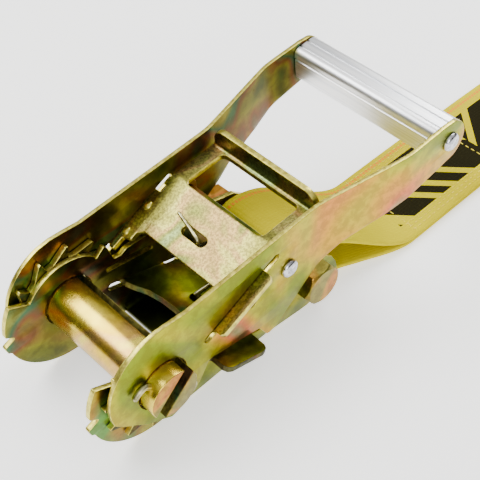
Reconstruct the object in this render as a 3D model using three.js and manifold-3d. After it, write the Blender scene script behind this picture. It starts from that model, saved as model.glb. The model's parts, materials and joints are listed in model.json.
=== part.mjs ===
// Ratchet tie down: a webbing tensioner with a winding drum, a long handle and a hooked fixed end.
// Units are millimetres. The buckle is drawn in its own frame: the drum's axis is the origin,
// +X runs along the handle towards the grip, +Y runs along the drum and +Z is up.
// It is then tilted so that it stands on z = 0, and the webbing is laid out from its anchor bolt.
import * as THREE from 'three';
import { mergeVertices } from 'three/addons/utils/BufferGeometryUtils.js';
import Module from 'manifold-3d';

const wasm = await Module();
wasm.setup();

// Driving dimensions
const GAP = 0.3; // clearance between neighbouring pieces
const WEBBING_WIDTH = 50;
const WEBBING_THICK = 2.2;
const FRAME_INNER = 26.5; // half of the space between the frame's walls
const FRAME_THICK = 2.5;
const WHEEL_THICK = 2.7;
const HANDLE_THICK = 2;
const DRUM_RADIUS = 11.7;
const DRUM_SLOT = 6; // gap between the two drum bars
const SLOT_ANGLE = THREE.MathUtils.degToRad(40);
const TEETH = 12;
const TOOTH_TIP = 27.3;
const TOOTH_ROOT = 21.3;
const TOOTH_PHASE = THREE.MathUtils.degToRad(11.75);
const HUB_HOLE = 12.4; // radius of the drum's bearing holes in the frame and the handle
const BOLT = { x: 90, z: -22.4, radius: 6, head: 19, headThick: 7.2 };
const SLEEVE_RADIUS = 9;
const SHEET = 3; // thickness of the release slide and of the stop pawl
const SLIDE_SLOPE = THREE.MathUtils.degToRad(20.75);
const PAWL_SLOPE = THREE.MathUtils.degToRad(-22.1);
const SLIDE_HEIGHT = -4; // where the slide's upper face would cross the drum's axis
const PAWL_HEIGHT = -1.5; // the same for the stop pawl
const GRIP_AXIS = { x: 163.5, z: 18.5 };
const BRACE_AXIS = { x: 71.6, z: 6.7 };
const BRACE_WEB = 66; // where the brace's cross web starts
const PIN_RADIUS = 2.5; // shank of the brace rivets
const ROD_RADIUS = 3.5; // the rod through the grip
const SPRING_WIRE = 0.8; // radius of the two springs' wire
const SPRING_COIL = 3.4; // radius of their coils
const RETURN_COIL = { x: 55.2, y: -4.5, z: 4 };
const DIMPLES = [36.8, 50.5]; // pressed bumps along each side of the slide
const DIMPLE_AT = 30;
const REST_TILT = THREE.MathUtils.degToRad(-4.65); // stands on the drum end and the bolt ear
const HOOK_WIRE = 4; // radius of the end hook's wire
const HOOK_BAR = { x: 430, z: 7.2 };
const SWAY = 13.5; // how far the webbing lies to one side of the buckle

// Layers across the width, from the frame's wall outwards, as half widths
const FRAME_OUTER = FRAME_INNER + FRAME_THICK;
const WHEEL_INNER = FRAME_OUTER + GAP;
const WHEEL_OUTER = WHEEL_INNER + WHEEL_THICK;
const HANDLE_INNER = WHEEL_OUTER + GAP;
const HANDLE_OUTER = HANDLE_INNER + HANDLE_THICK;
const FLARE = { start: 91, end: 137, out: 10.1 };
const GRIP_HALF = HANDLE_INNER + FLARE.out - GAP;
const DRUM_HALF = 41.5;
const COTTER_AT = HANDLE_OUTER + 2;

// Colours
const ZINC_YELLOW = 0xc8b860;
const ZINC_PALE = 0xcfc8a4;
const STEEL = 0xa9a690;
const BRIGHT = 0xc9c9cc;
const ALUMINIUM = 0xdcdde0;
const WEB_YELLOW = 0xf2e400;

const point = (x, y, z) => new THREE.Vector3(x, y, z);

function makeMesh(name, geometry, colour, metalness = 0.9, roughness = 0.4) {
  const material = new THREE.MeshStandardMaterial({ color: colour, metalness, roughness });
  const mesh = new THREE.Mesh(geometry, material);
  mesh.name = name;
  return mesh;
}

// Booleans

function toSolid(geometry) {
  const bare = geometry.clone();
  bare.deleteAttribute('normal');
  bare.deleteAttribute('uv');
  const merged = mergeVertices(bare, 1e-4);
  return new wasm.Manifold(new wasm.Mesh({
    numProp: 3,
    vertProperties: new Float32Array(merged.attributes.position.array),
    triVerts: new Uint32Array(merged.index.array),
  }));
}

function toGeometry(solid) {
  const mesh = solid.getMesh();
  const geometry = new THREE.BufferGeometry();
  geometry.setAttribute('position', new THREE.BufferAttribute(mesh.vertProperties, 3));
  geometry.setIndex(new THREE.BufferAttribute(mesh.triVerts, 1));
  geometry.computeVertexNormals();
  return geometry;
}

function unite(first, ...others) {
  return toGeometry(others.reduce((sum, piece) => sum.add(toSolid(piece)), toSolid(first)));
}

function cut(first, ...tools) {
  return toGeometry(tools.reduce((rest, tool) => rest.subtract(toSolid(tool)), toSolid(first)));
}

function common(first, second) {
  return toGeometry(toSolid(first).intersect(toSolid(second)));
}

// Outlines and the solids made from them

// A step is a corner [a, b] or an arc { at: [a, b], r, from, to } with its angles in degrees.
// Outlines that get holes run anticlockwise, and their holes run clockwise.
function drawShape(steps) {
  const shape = new THREE.Shape();
  const first = steps[0];
  shape.moveTo(first[0], first[1]);
  for (const step of steps.slice(1)) {
    if (Array.isArray(step)) {
      shape.lineTo(step[0], step[1]);
    } else {
      const [from, to] = [step.from, step.to].map(THREE.MathUtils.degToRad);
      shape.absarc(step.at[0], step.at[1], step.r, from, to, to < from);
    }
  }
  return shape;
}

function roundHole(x, z, radius) {
  const hole = new THREE.Path();
  hole.absarc(x, z, radius, 0, 2 * Math.PI, true);
  return hole;
}

// A slot with rounded ends between two points
function slotHole(start, end, width) {
  const angle = Math.atan2(end[1] - start[1], end[0] - start[0]);
  const hole = new THREE.Path();
  hole.absarc(start[0], start[1], width / 2, angle + Math.PI / 2, angle + 1.5 * Math.PI, false);
  hole.absarc(end[0], end[1], width / 2, angle - Math.PI / 2, angle + Math.PI / 2, false);
  return hole;
}

// A plate whose outline lies in the XZ plane, between two values of y
function uprightPlate(shape, low, high, curveSegments = 10) {
  const geometry = new THREE.ExtrudeGeometry(shape, {
    depth: high - low, bevelEnabled: false, curveSegments,
  });
  return geometry.rotateX(Math.PI / 2).translate(0, high, 0);
}

// A plate whose outline lies in the XY plane, between two values of z
function flatPlate(shape, low, high, curveSegments = 6) {
  const geometry = new THREE.ExtrudeGeometry(shape, {
    depth: high - low, bevelEnabled: false, curveSegments,
  });
  return geometry.translate(0, 0, low);
}

// An outline that is the same on both sides of y = 0, from the points of its positive side
function bothSides(points) {
  const mirrored = points.map(([x, y]) => [x, -y]).reverse();
  return [...points, ...mirrored];
}

// A turned piece: profile points are [radius, y]
function turned(points, x, z, segments = 20) {
  const profile = points.map(([radius, y]) => new THREE.Vector2(radius, y));
  return new THREE.LatheGeometry(profile, segments).translate(x, 0, z);
}

function hexPrism(acrossFlats, low, high, x, z) {
  const corner = acrossFlats / Math.sqrt(3);
  const geometry = new THREE.CylinderGeometry(corner, corner, high - low, 6);
  return geometry.translate(x, (low + high) / 2, z);
}

// A round wire along a smooth curve through the points
function wire(points, radius, steps, sides = 8) {
  const path = new THREE.CatmullRomCurve3(points, false, 'catmullrom', 0.5);
  const circle = new THREE.Shape().absarc(0, 0, radius, 0, 2 * Math.PI, false);
  return new THREE.ExtrudeGeometry(circle, {
    steps, bevelEnabled: false, extrudePath: path, curveSegments: sides,
  });
}

// Frame

const slideTop = (x) => SLIDE_HEIGHT + x * Math.tan(SLIDE_SLOPE);
const pawlTop = (x) => PAWL_HEIGHT + x * Math.tan(PAWL_SLOPE);

function frameOutline() {
  const disc = 32.5;
  return drawShape([
    [96, -12], [88, -9.2], [83, -7.3], [60, -1], [46, 3], [33, 4.6], [29, 3], [25.8, 3.8],
    [23.9, 13.1], [22.7, 15.2], [17.4, 11.3],
    { at: [0, 0], r: 21.8, from: 38, to: 141 },
    { at: [0, 0], r: disc, from: 143.5, to: 171 },
    [-27.6, 1.5], [-34.2, -0.6], [-33.4, -4.5],
    { at: [0, 0], r: disc, from: 190, to: 274 },
    [59.8, -34.6], [81.4, -38.9], [86, -39.5], [99, -38.5], [106.7, -33.1], [105.8, -25.5], [103.3, -19.5],
  ]);
}

function frameWall(low, high) {
  const shape = frameOutline();
  const slotWidth = SHEET + 0.8;
  const middle = (x) => pawlTop(x) - SHEET / 2 / Math.cos(PAWL_SLOPE);
  shape.holes.push(roundHole(0, 0, HUB_HOLE));
  shape.holes.push(roundHole(BOLT.x, BOLT.z, BOLT.radius + GAP));
  shape.holes.push(slotHole([21, middle(21)], [56, middle(56)], slotWidth));
  shape.holes.push(slotHole([21.8, 0.2], [44.5, -5.4], 2.6));
  return uprightPlate(shape, low, high);
}

// One folded sheet: two walls and the floor that joins them
function frameChannel() {
  const floor = drawShape([[24, -33], [59.8, -34.6], [78, -38.2], [78, -35.6], [59.8, -32], [24, -30.5]]);
  return unite(
    frameWall(-FRAME_OUTER, -FRAME_INNER),
    uprightPlate(floor, -FRAME_INNER - 1, FRAME_INNER + 1),
    frameWall(FRAME_INNER, FRAME_OUTER),
  );
}

function anchorBolt() {
  const head = FRAME_OUTER + GAP;
  const shankEnd = FRAME_OUTER + 11.5;
  const shank = turned([
    [0, -head - 1], [BOLT.radius, -head - 1], [BOLT.radius, shankEnd - 1.2],
    [BOLT.radius - 1.2, shankEnd], [0, shankEnd],
  ], BOLT.x, BOLT.z);
  const hexHead = hexPrism(BOLT.head, -head - BOLT.headThick, -head, BOLT.x, BOLT.z);
  const crown = turned([
    [0, -60], [2, -60], [14.5, -head - BOLT.headThick + 3], [14.5, -head + 1], [0, -head + 1],
  ], BOLT.x, BOLT.z);
  return unite(shank, common(hexHead, crown));
}

function anchorNut() {
  const low = FRAME_OUTER + GAP;
  const body = hexPrism(BOLT.head, low, low + 9.5, BOLT.x, BOLT.z);
  const inner = BOLT.radius + GAP;
  const bore = turned([[0, low - 1], [inner, low - 1], [inner, low + 11], [0, low + 11]], BOLT.x, BOLT.z);
  return cut(body, bore);
}

function anchorSleeve() {
  const half = FRAME_INNER - GAP;
  const inner = BOLT.radius + GAP;
  const profile = [
    [inner, -half], [SLEEVE_RADIUS, -half], [SLEEVE_RADIUS, half], [inner, half], [inner, -half],
  ];
  return turned(profile, BOLT.x, BOLT.z, 24);
}

// The stop pawl: a flat plate across the frame with two teeth and two ears, on a slope
function stopPawl() {
  const ear = 42;
  const toothIn = WHEEL_INNER + 0.2;
  const toothOut = WHEEL_OUTER - 0.2;
  const outline = drawShape(bothSides([
    [34, 0], [32.5, 14], [27.5, 24], [27.5, toothIn], [21.6, toothIn], [21.6, toothOut], [27, toothOut],
    [27, ear - 3], [27.9, ear - 0.9], [30, ear], [47, ear], [49.1, ear - 0.9], [50, ear - 3],
    [50, FRAME_INNER - GAP], [57, FRAME_INNER - GAP],
  ]).slice(1).reverse());
  outline.holes.push(roundHole(46, 0, 3));
  const thick = SHEET / Math.cos(PAWL_SLOPE);
  const side = drawShape([
    [15, pawlTop(15)], [15, pawlTop(15) - thick], [65, pawlTop(65) - thick], [65, pawlTop(65)],
  ]);
  return common(flatPlate(outline, -60, 20, 3), uprightPlate(side, -50, 50));
}

// A coiled wire spring: its coil lies along y, one leg runs to the seat and one to the pawl
function wireSpring(coil, seatLeg, pawlLeg) {
  const turns = 3;
  const perTurn = 8;
  const pitch = 2;
  const points = [...seatLeg];
  for (let i = 0; i <= turns * perTurn; i += 1) {
    const angle = Math.PI / 2 + (2 * Math.PI * i) / perTurn;
    const x = coil.x + SPRING_COIL * Math.cos(angle);
    const z = coil.z + SPRING_COIL * Math.sin(angle);
    points.push(point(x, coil.y + (pitch * i) / perTurn, z));
  }
  points.push(...pawlLeg);
  return wire(points, SPRING_WIRE, 90, 3);
}

function stopSpring() {
  const lift = SPRING_WIRE + GAP + 0.4;
  const seat = [point(78, -6, -32), point(71, -5, -25.5)];
  const reach = [58, 52, 46.5].map((x, i) => point(x, 3 - i, pawlTop(x) + lift));
  return wireSpring({ x: 66, y: -4, z: -27 }, seat, reach);
}

// Drum

function wheelOutline() {
  const step = (2 * Math.PI) / TEETH;
  const slope = step * 0.66;
  const corners = [];
  for (let i = 0; i < TEETH; i += 1) {
    const tip = TOOTH_PHASE + i * step;
    corners.push([TOOTH_ROOT, tip - 0.02], [TOOTH_TIP, tip]);
    corners.push([TOOTH_TIP - 0.4, tip + 0.05], [TOOTH_ROOT, tip + slope]);
  }
  return drawShape(corners.map(([r, angle]) => [r * Math.cos(angle), r * Math.sin(angle)]));
}

// The outline of one half-round bar; side is 1 for the upper bar and -1 for the lower one
function halfMoon(radius, flat, side) {
  const start = Math.asin(flat / radius);
  const turn = side > 0 ? SLOT_ANGLE : SLOT_ANGLE + Math.PI;
  const path = new THREE.Shape();
  path.absarc(0, 0, radius, turn + start, turn + Math.PI - start, false);
  return path;
}

function ratchetWheel(side) {
  const shape = wheelOutline();
  shape.holes.push(halfMoon(DRUM_RADIUS + GAP, DRUM_SLOT / 2 - GAP, 1));
  shape.holes.push(halfMoon(DRUM_RADIUS + GAP, DRUM_SLOT / 2 - GAP, -1));
  const faces = [side * WHEEL_INNER, side * WHEEL_OUTER].sort((a, b) => a - b);
  return uprightPlate(shape, faces[0], faces[1]);
}

function drumBar(side) {
  const bar = uprightPlate(halfMoon(DRUM_RADIUS, DRUM_SLOT / 2, side), -DRUM_HALF, DRUM_HALF, 12);
  const drills = [-COTTER_AT, COTTER_AT].map((y) => {
    const drill = new THREE.CylinderGeometry(2, 2, 40, 12);
    return drill.rotateX(Math.PI / 2).rotateY(-SLOT_ANGLE).translate(0, y, 0);
  });
  return cut(bar, ...drills);
}

// A cotter pin across both bars: a straight leg, a bent tail and an eye
function cotterPin(y) {
  const across = new THREE.Vector3(-Math.sin(SLOT_ANGLE), 0, Math.cos(SLOT_ANGLE));
  const along = new THREE.Vector3(Math.cos(SLOT_ANGLE), 0, Math.sin(SLOT_ANGLE));
  const place = (a, b) => across.clone().multiplyScalar(a).addScaledVector(along, b).setY(y);
  const leg = wire([place(-15, 0), place(0, 0), place(14, 0), place(16, -1.5), place(16.5, -5)], 1.5, 16, 5);
  const eye = new THREE.TorusGeometry(2.6, 1.2, 8, 14).rotateX(Math.PI / 2);
  const centre = place(-16.5, 0);
  return unite(leg, eye.translate(centre.x, centre.y, centre.z));
}

// Handle

function handleOutline() {
  return drawShape([
    [3, 32.2], { at: [2.2, 4.3], r: 28, from: 101, to: 185 }, [-25.2, -1.5], [-21.5, -6.8],
    [-16.4, -11.9], [-11.3, -17.8], [-5, -22], [0.2, -26.2], [8, -24.6], [17, -18.6], [23.9, -9.4],
    [38, -13.1], [52.1, -17.1], [56.2, -26], [61, -25.4], [70, -19.2], [78.3, -13.6], [88, -7.2],
    [102, -1.6], [124, 0.9], [140, 4.3], [156.7, 6.1],
    { at: [162, 17.8], r: 11.6, from: -64, to: 70 }, [160, 29.5], [18, 29.9], [10.5, 31.2],
  ]);
}

function handlePlate(side) {
  const shape = handleOutline();
  const middle = (x) => slideTop(x) - SHEET / 2 / Math.cos(SLIDE_SLOPE);
  shape.holes.push(roundHole(0, 0, HUB_HOLE + 0.2));
  shape.holes.push(slotHole([25.2, middle(25.2)], [65.2, middle(65.2)], SHEET + 1));
  shape.holes.push(roundHole(50, 3.3, 2.6));
  shape.holes.push(roundHole(BRACE_AXIS.x, BRACE_AXIS.z, PIN_RADIUS + GAP));
  shape.holes.push(roundHole(GRIP_AXIS.x, GRIP_AXIS.z, ROD_RADIUS + GAP));
  const inner = [[-40, HANDLE_INNER], [FLARE.start - 3, HANDLE_INNER], [FLARE.start + 4, HANDLE_INNER + 0.9],
    [FLARE.end - 4, HANDLE_INNER + FLARE.out - 0.9], [FLARE.end + 3, HANDLE_INNER + FLARE.out],
    [190, HANDLE_INNER + FLARE.out]];
  const outer = inner.map(([x, y]) => [x, y + HANDLE_THICK]).reverse();
  const bend = [...inner, ...outer].map(([x, y]) => [x, side * y]);
  return common(
    uprightPlate(shape, side > 0 ? 20 : -60, side > 0 ? 60 : -20),
    flatPlate(drawShape(bend), -50, 50),
  );
}

// An extruded bar: rounded, with two fine grooves along its upper face
function grip() {
  const outline = drawShape([
    [155, 20], { at: [159, 13], r: 4, from: 180, to: 270 }, { at: [165.5, 14], r: 5, from: -90, to: 0 },
    { at: [166.5, 24], r: 4, from: 0, to: 90 }, [164.8, 28], [164.5, 27.2], [163.9, 27.2], [163.6, 28],
    [159.8, 28], [159.5, 27.2], [158.9, 27.2], [158.6, 28], { at: [158, 25], r: 3, from: 90, to: 180 },
  ]);
  outline.holes.push(roundHole(GRIP_AXIS.x, GRIP_AXIS.z, ROD_RADIUS + GAP));
  return uprightPlate(outline, -GRIP_HALF, GRIP_HALF, 5);
}

function gripRod() {
  const face = HANDLE_INNER + FLARE.out + HANDLE_THICK + GAP;
  const head = [[0, face + 2.2], [3.2, face + 2], [4.6, face + 0.8], [4.6, face], [ROD_RADIUS, face]];
  const foot = head.map(([r, y]) => [r, -y]);
  return turned([...foot, ...head.reverse()], GRIP_AXIS.x, GRIP_AXIS.z, 18);
}

// A folded strip between the handle plates: it keeps them apart and seats the return spring
function handleBrace() {
  const outer = HANDLE_INNER - GAP;
  const inner = outer - 2;
  const web = BRACE_WEB;
  const plan = drawShape(bothSides([[web, outer], [78, outer], [78, inner], [web + 2, inner]]).reverse());
  const strip = flatPlate(plan, 0.8, 16.6);
  const trim = drawShape([
    [60, -5], [74, -5], [79, 0], [79, 9], [76, 12.5], [68.2, 12.5], [68.2, 20], [60, 20],
  ]);
  const lip = flatPlate(drawShape([[web, -26], [web + 5, -24], [web + 5, 24], [web, 26]]), 15.5, 17.1);
  const folded = unite(common(strip, uprightPlate(trim, -40, 40)), lip);
  const inside = PIN_RADIUS + GAP;
  const bore = turned([[0, -40], [inside, -40], [inside, 40], [0, 40]], BRACE_AXIS.x, BRACE_AXIS.z, 16);
  const seat = new THREE.CylinderGeometry(1.7, 1.7, 10, 12).rotateZ(Math.PI / 2).rotateY(-SLIDE_SLOPE);
  return cut(folded, bore, seat.translate(web + 1, RETURN_COIL.y, springLeg(web + 1)));
}

// The return spring's straight leg lies along the slide's travel, so it can slide in the brace
const springLeg = (x) => RETURN_COIL.z + SPRING_COIL + (x - RETURN_COIL.x) * Math.tan(SLIDE_SLOPE);

function braceRivet(side) {
  const inside = HANDLE_INNER - GAP - 2 - GAP;
  const outside = HANDLE_OUTER + GAP;
  const profile = [[0, inside - 1.6], [3.2, inside - 1.4], [3.2, inside], [PIN_RADIUS, inside],
    [PIN_RADIUS, outside], [4.3, outside], [4.1, outside + 1.2], [2.6, outside + 2], [0, outside + 2.1]];
  const points = side > 0 ? profile : profile.map(([r, y]) => [r, -y]).reverse();
  return turned(points, BRACE_AXIS.x, BRACE_AXIS.z, 16);
}

// It hangs under the slide; its hooked end comes up through the slide's hole and lies on top
function returnSpring() {
  const lift = SPRING_WIRE + GAP;
  const y = RETURN_COIL.y;
  const seat = [71, 66, 61].map((x) => point(x, y, springLeg(x)));
  const reach = [
    point(52.2, 0.8, 8.8), point(51, -0.8, 11.2), point(51, -1.5, slideTop(51) - 1),
    point(51.2, -1.1, slideTop(51.2) + lift - 0.2), point(52, 2.2, slideTop(52) + lift + 0.5),
    point(53.6, 8, slideTop(53.6) + lift + 0.1), point(55.2, 14.4, slideTop(55.2) + lift),
  ];
  return wireSpring(RETURN_COIL, seat, reach);
}

// The release slide: one bent sheet that is the drive pawl at the front and a finger pull behind
function releaseSlide() {
  const lug = WHEEL_INNER + 0.2;
  const body = HANDLE_INNER - GAP;
  const ear = HANDLE_OUTER + 5;
  const leg = 31;
  const outline = drawShape(bothSides([
    [41.2, 0], [41.2, 22.5], [40.4, 24.7], [38.4, 25.4], [35.6, 25.4], [34.6, 26.5], [34.2, lug],
    [27.7, lug], [27.7, body], [28.5, body + 0.6],
    [28.5, ear - 1.4], [29.9, ear], [56.6, ear], [58, ear - 1.4], [58, lug], [61.5, lug], [61.5, body],
    [64.5, body], [66, leg], [95.2, leg],
  ]).slice(1).reverse());
  outline.holes.push(slotHole([52.1, -2.9], [52.1, 6.5], 4.6));
  outline.holes.push(drawShape([
    [67.5, -21.5], [69.5, -23.5], [91, -23.5], [91, 23.5], [69.5, 23.5], [67.5, 21.5],
  ]));
  const thick = SHEET / Math.cos(SLIDE_SLOPE);
  const side = drawShape([
    [20, slideTop(20)], [20, slideTop(20) - thick], [65.6, slideTop(65.6) - thick], [68, 18.5], [96, 18.5],
    [96, 21.5], [67.6, 21.5], [65.2, slideTop(65.2)],
  ]);
  const sheet = common(flatPlate(outline, -20, 60, 5), uprightPlate(side, -60, 60));
  return unite(sheet, crossBar(leg), ...dimples());
}

function dimples() {
  return DIMPLES.flatMap((x) => [-DIMPLE_AT, DIMPLE_AT].map((y) => {
    const bump = new THREE.SphereGeometry(2, 10, 6).scale(1, 0.9, 0.5).rotateY(-SLIDE_SLOPE);
    return bump.translate(x, y, slideTop(x));
  }));
}

// The upturned finger bar behind the slide's window; drawn lying down, then stood on edge
function crossBar(half) {
  const corner = 7;
  const top = -30.8 + corner;
  const face = drawShape([
    [-18.6, -half], [top, -half], { at: [top, -half + corner], r: corner, from: -90, to: -180 },
    { at: [top, half - corner], r: corner, from: 180, to: 90 }, [-18.6, half],
  ]);
  return flatPlate(face, 92, 95.2, 5).rotateY(Math.PI / 2);
}

// Webbing and hook, laid out from the anchor bolt of the standing buckle

// How far the webbing has swayed to the side at x
function swayAt(x, bolt) {
  const eased = THREE.MathUtils.smoothstep(x, bolt.x + 17, bolt.x + 62);
  return -SWAY * eased;
}

// Straight stretches get a point every few millimetres, so that the webbing can bend sideways
function stretch(from, to, count) {
  const points = [];
  for (let i = 1; i < count; i += 1) {
    const t = i / count;
    const ease = t * t * (3 - 2 * t);
    points.push([from[0] + (to[0] - from[0]) * t, from[1] + (to[1] - from[1]) * ease]);
  }
  return points;
}

function arcPoints(centre, radius, from, to, count) {
  const points = [];
  for (let i = 0; i <= count; i += 1) {
    const angle = THREE.MathUtils.degToRad(from + ((to - from) * i) / count);
    points.push([centre.x + radius * Math.cos(angle), centre.z + radius * Math.sin(angle)]);
  }
  return points;
}

function webbing(bolt) {
  const floor = 0.3;
  const inner = SLEEVE_RADIUS + 0.4;
  const outer = inner + WEBBING_THICK;
  const seam = { x: bolt.x + 62, z: floor + WEBBING_THICK };
  const sewn = seam.x + 72;
  const touchdown = bolt.x + 34;
  const hookIn = HOOK_WIRE + 0.4;
  const hookOut = hookIn + WEBBING_THICK;
  const bar = HOOK_BAR;
  const lapStart = bar.x - 84;
  const seamEnd = bar.x - 14;
  const bottom = [
    ...arcPoints(bolt, outer, 90, 270, 14), ...stretch([bolt.x, bolt.z - outer], [touchdown, floor], 5),
    [touchdown, floor], ...stretch([touchdown, floor], [bar.x, bar.z - hookOut], 26),
  ];
  const top = [
    ...arcPoints(bar, hookOut, -90, 90, 12), ...stretch([bar.x, bar.z + hookOut], [seamEnd, 4.9], 3),
    [seamEnd, 4.9], [lapStart, 4.7], [lapStart - 0.4, 2.6], ...stretch([lapStart, 2.6], [sewn + 1, 2.5], 10),
    [sewn + 0.4, 2.6], [sewn, 4.7], ...stretch([sewn, 4.7], [seam.x, 4.7], 8), [seam.x, 4.7],
    ...stretch([seam.x, 4.7], [bolt.x, bolt.z + outer], 9),
  ];
  const shape = drawShape([...bottom, ...top]);
  shape.holes.push(drawShape([
    ...arcPoints(bolt, inner, 90, 270, 14),
    ...stretch([bolt.x, bolt.z - inner], [touchdown, seam.z], 5), [touchdown, seam.z],
    [seam.x - 4, seam.z + 0.05], ...stretch([seam.x - 4, seam.z + 0.4], [bolt.x, bolt.z + inner], 8),
  ]));
  shape.holes.push(drawShape([
    ...arcPoints(bar, hookIn, -90, 90, 10), [bar.x - 6, bar.z + 2.8], [seamEnd + 1, 2.9],
    [bar.x - 6, bar.z - 3.6],
  ]));
  const geometry = uprightPlate(shape, -WEBBING_WIDTH / 2, WEBBING_WIDTH / 2, 1);
  const position = geometry.attributes.position;
  for (let i = 0; i < position.count; i += 1) {
    position.setY(i, position.getY(i) + swayAt(position.getX(i), bolt));
  }
  return geometry;
}

// One bent wire: a bar through the webbing's loop, two arms and two hooked ends
function endHook() {
  const lie = HOOK_WIRE + 0.6;
  const bend = 13;
  const reach = HOOK_BAR.x + 52;
  const side = (s) => [
    point(reach - 16, s * 6, lie + 2 * bend + 1), point(reach - 6, s * 6, lie + 2 * bend),
    point(reach, s * 6, lie + 2 * bend - 1), point(reach + bend * 0.8, s * 6, lie + bend * 1.6),
    point(reach + bend, s * 6, lie + bend), point(reach + bend * 0.8, s * 6, lie + bend * 0.4),
    point(reach, s * 6, lie), point(reach - 14, s * 8, lie), point(reach - 30, s * 18, lie),
    point(reach - 42, s * 28.5, lie + 1), point(HOOK_BAR.x + 2, s * 30.6, HOOK_BAR.z - 0.3),
  ];
  const bar = [-27, -12, 12, 27].map((y) => point(HOOK_BAR.x, y, HOOK_BAR.z));
  return wire([...side(-1), ...bar, ...side(1).reverse()], HOOK_WIRE, 84, 4).translate(0, -SWAY, 0);
}

// Assembly

function buildBuckle() {
  const buckle = new THREE.Group();
  buckle.add(
    makeMesh('frame_channel', frameChannel(), ZINC_YELLOW),
    makeMesh('anchor_bolt', anchorBolt(), ZINC_YELLOW),
    makeMesh('anchor_nut', anchorNut(), ZINC_YELLOW),
    makeMesh('anchor_sleeve', anchorSleeve(), STEEL),
    makeMesh('stop_pawl', stopPawl(), ZINC_YELLOW),
    makeMesh('stop_spring', stopSpring(), STEEL),
    makeMesh('ratchet_wheel_near', ratchetWheel(-1), ZINC_YELLOW),
    makeMesh('ratchet_wheel_far', ratchetWheel(1), ZINC_YELLOW),
    makeMesh('drum_bar_upper', drumBar(1), ZINC_PALE),
    makeMesh('drum_bar_lower', drumBar(-1), ZINC_PALE),
    makeMesh('cotter_pin_near', cotterPin(-COTTER_AT), STEEL),
    makeMesh('cotter_pin_far', cotterPin(COTTER_AT), STEEL),
    makeMesh('handle_plate_near', handlePlate(-1), ZINC_YELLOW),
    makeMesh('handle_plate_far', handlePlate(1), ZINC_YELLOW),
    makeMesh('grip', grip(), ALUMINIUM),
    makeMesh('grip_rod', gripRod(), BRIGHT),
    makeMesh('handle_brace', handleBrace(), ZINC_YELLOW),
    makeMesh('brace_rivet_near', braceRivet(-1), BRIGHT),
    makeMesh('brace_rivet_far', braceRivet(1), BRIGHT),
    makeMesh('return_spring', returnSpring(), STEEL),
    makeMesh('release_slide', releaseSlide(), ZINC_PALE),
  );
  buckle.rotation.y = REST_TILT;
  buckle.updateMatrixWorld(true);
  return buckle;
}

const group = new THREE.Group();
const buckle = buildBuckle();
const box = new THREE.Box3().setFromObject(buckle, true);
buckle.position.z = -box.min.z;
buckle.updateMatrixWorld(true);
const boltPlace = new THREE.Vector3(BOLT.x, 0, BOLT.z).applyMatrix4(buckle.matrixWorld);
group.add(
  buckle,
  makeMesh('webbing', webbing(boltPlace), WEB_YELLOW, 0, 0.8),
  makeMesh('end_hook', endHook(), ZINC_YELLOW),
);
group.position.x = -(box.min.x + box.max.x) / 2;

export default group;
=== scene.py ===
# %% [markdown]
# # Ratchet tie down
#
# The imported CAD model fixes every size, place and joint. This notebook builds the visible surface
# round it: rolled sheet-metal edges, plated and mottled steel, a woven strap with its stitching and
# a studio to look at it in. Every piece takes the place of the CAD solid that it stands for.

import json
import math

import bmesh
import bpy
import numpy as np
from mathutils import Matrix, Vector

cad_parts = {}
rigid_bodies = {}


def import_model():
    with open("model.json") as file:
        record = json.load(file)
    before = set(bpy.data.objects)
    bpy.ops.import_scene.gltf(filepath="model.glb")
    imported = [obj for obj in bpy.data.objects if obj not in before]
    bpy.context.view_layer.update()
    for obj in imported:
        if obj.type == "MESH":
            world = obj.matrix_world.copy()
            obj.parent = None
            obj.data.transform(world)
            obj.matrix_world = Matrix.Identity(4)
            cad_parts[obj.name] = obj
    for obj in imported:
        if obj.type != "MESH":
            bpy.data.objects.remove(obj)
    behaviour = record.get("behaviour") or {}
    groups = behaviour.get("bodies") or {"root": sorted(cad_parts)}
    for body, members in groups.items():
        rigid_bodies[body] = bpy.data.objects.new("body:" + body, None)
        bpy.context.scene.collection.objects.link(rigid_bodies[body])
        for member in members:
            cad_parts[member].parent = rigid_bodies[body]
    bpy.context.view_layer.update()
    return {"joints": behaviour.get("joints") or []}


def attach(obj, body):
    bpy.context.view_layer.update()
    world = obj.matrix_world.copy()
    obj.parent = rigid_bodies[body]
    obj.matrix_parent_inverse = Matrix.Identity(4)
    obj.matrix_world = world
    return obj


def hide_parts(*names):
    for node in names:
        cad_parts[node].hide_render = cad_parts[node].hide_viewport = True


for leftover in list(bpy.data.objects):
    bpy.data.objects.remove(leftover)
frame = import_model()

# %% [markdown]
# ## Sizes
#
# Lengths are written in millimetres in the buckle's own frame, as they are read off a drawing: the
# drum's axis is the origin, x runs towards the grip and y along the drum. `stand` turns such a
# point into the shared frame, where the buckle stands tilted on its drum end and its bolt ear.

# %% Driving sizes
MM = 0.001
TILT = math.radians(4.65)
DRUM = Vector(frame["joints"][0]["pos_m"])
FRAME_IN, FRAME_OUT = 26.5, 29.0
WHEEL_IN, WHEEL_OUT = 29.3, 32.0
HANDLE_IN, HANDLE_OUT = 32.3, 34.3
FLARE_START, FLARE_END, FLARE = 91.0, 137.0, 10.1
HUB = 12.4
BOLT = (90.0, -22.4)
BRACE = (71.6, 6.7)
GRIP = (163.5, 18.5)
BOLT_RADIUS, BOLT_FLATS = 6.0, 19
BRACE_BORE, GRIP_BORE = 2.8, 3.8
SHEET = 3.0
SLIDE_SLOPE = math.radians(20.75)
PAWL_SLOPE = math.radians(-22.1)
SLOT_ANGLE = math.radians(40)
COTTER_AT = HANDLE_OUT + 2
SPRING_COIL, SPRING_WIRE = 3.4, 0.8
RETURN_COIL = (55.2, -4.5, 4.0)
DIMPLES = (36.8, 50.5)
WEB_WIDTH, WEB_THICK = 50.0, 2.2
WEB_CLEARANCE = 0.35
SWAY = 13.5
HOOK_BAR = (430.0, 7.2)
HOOK_WIRE = 4.0


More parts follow.
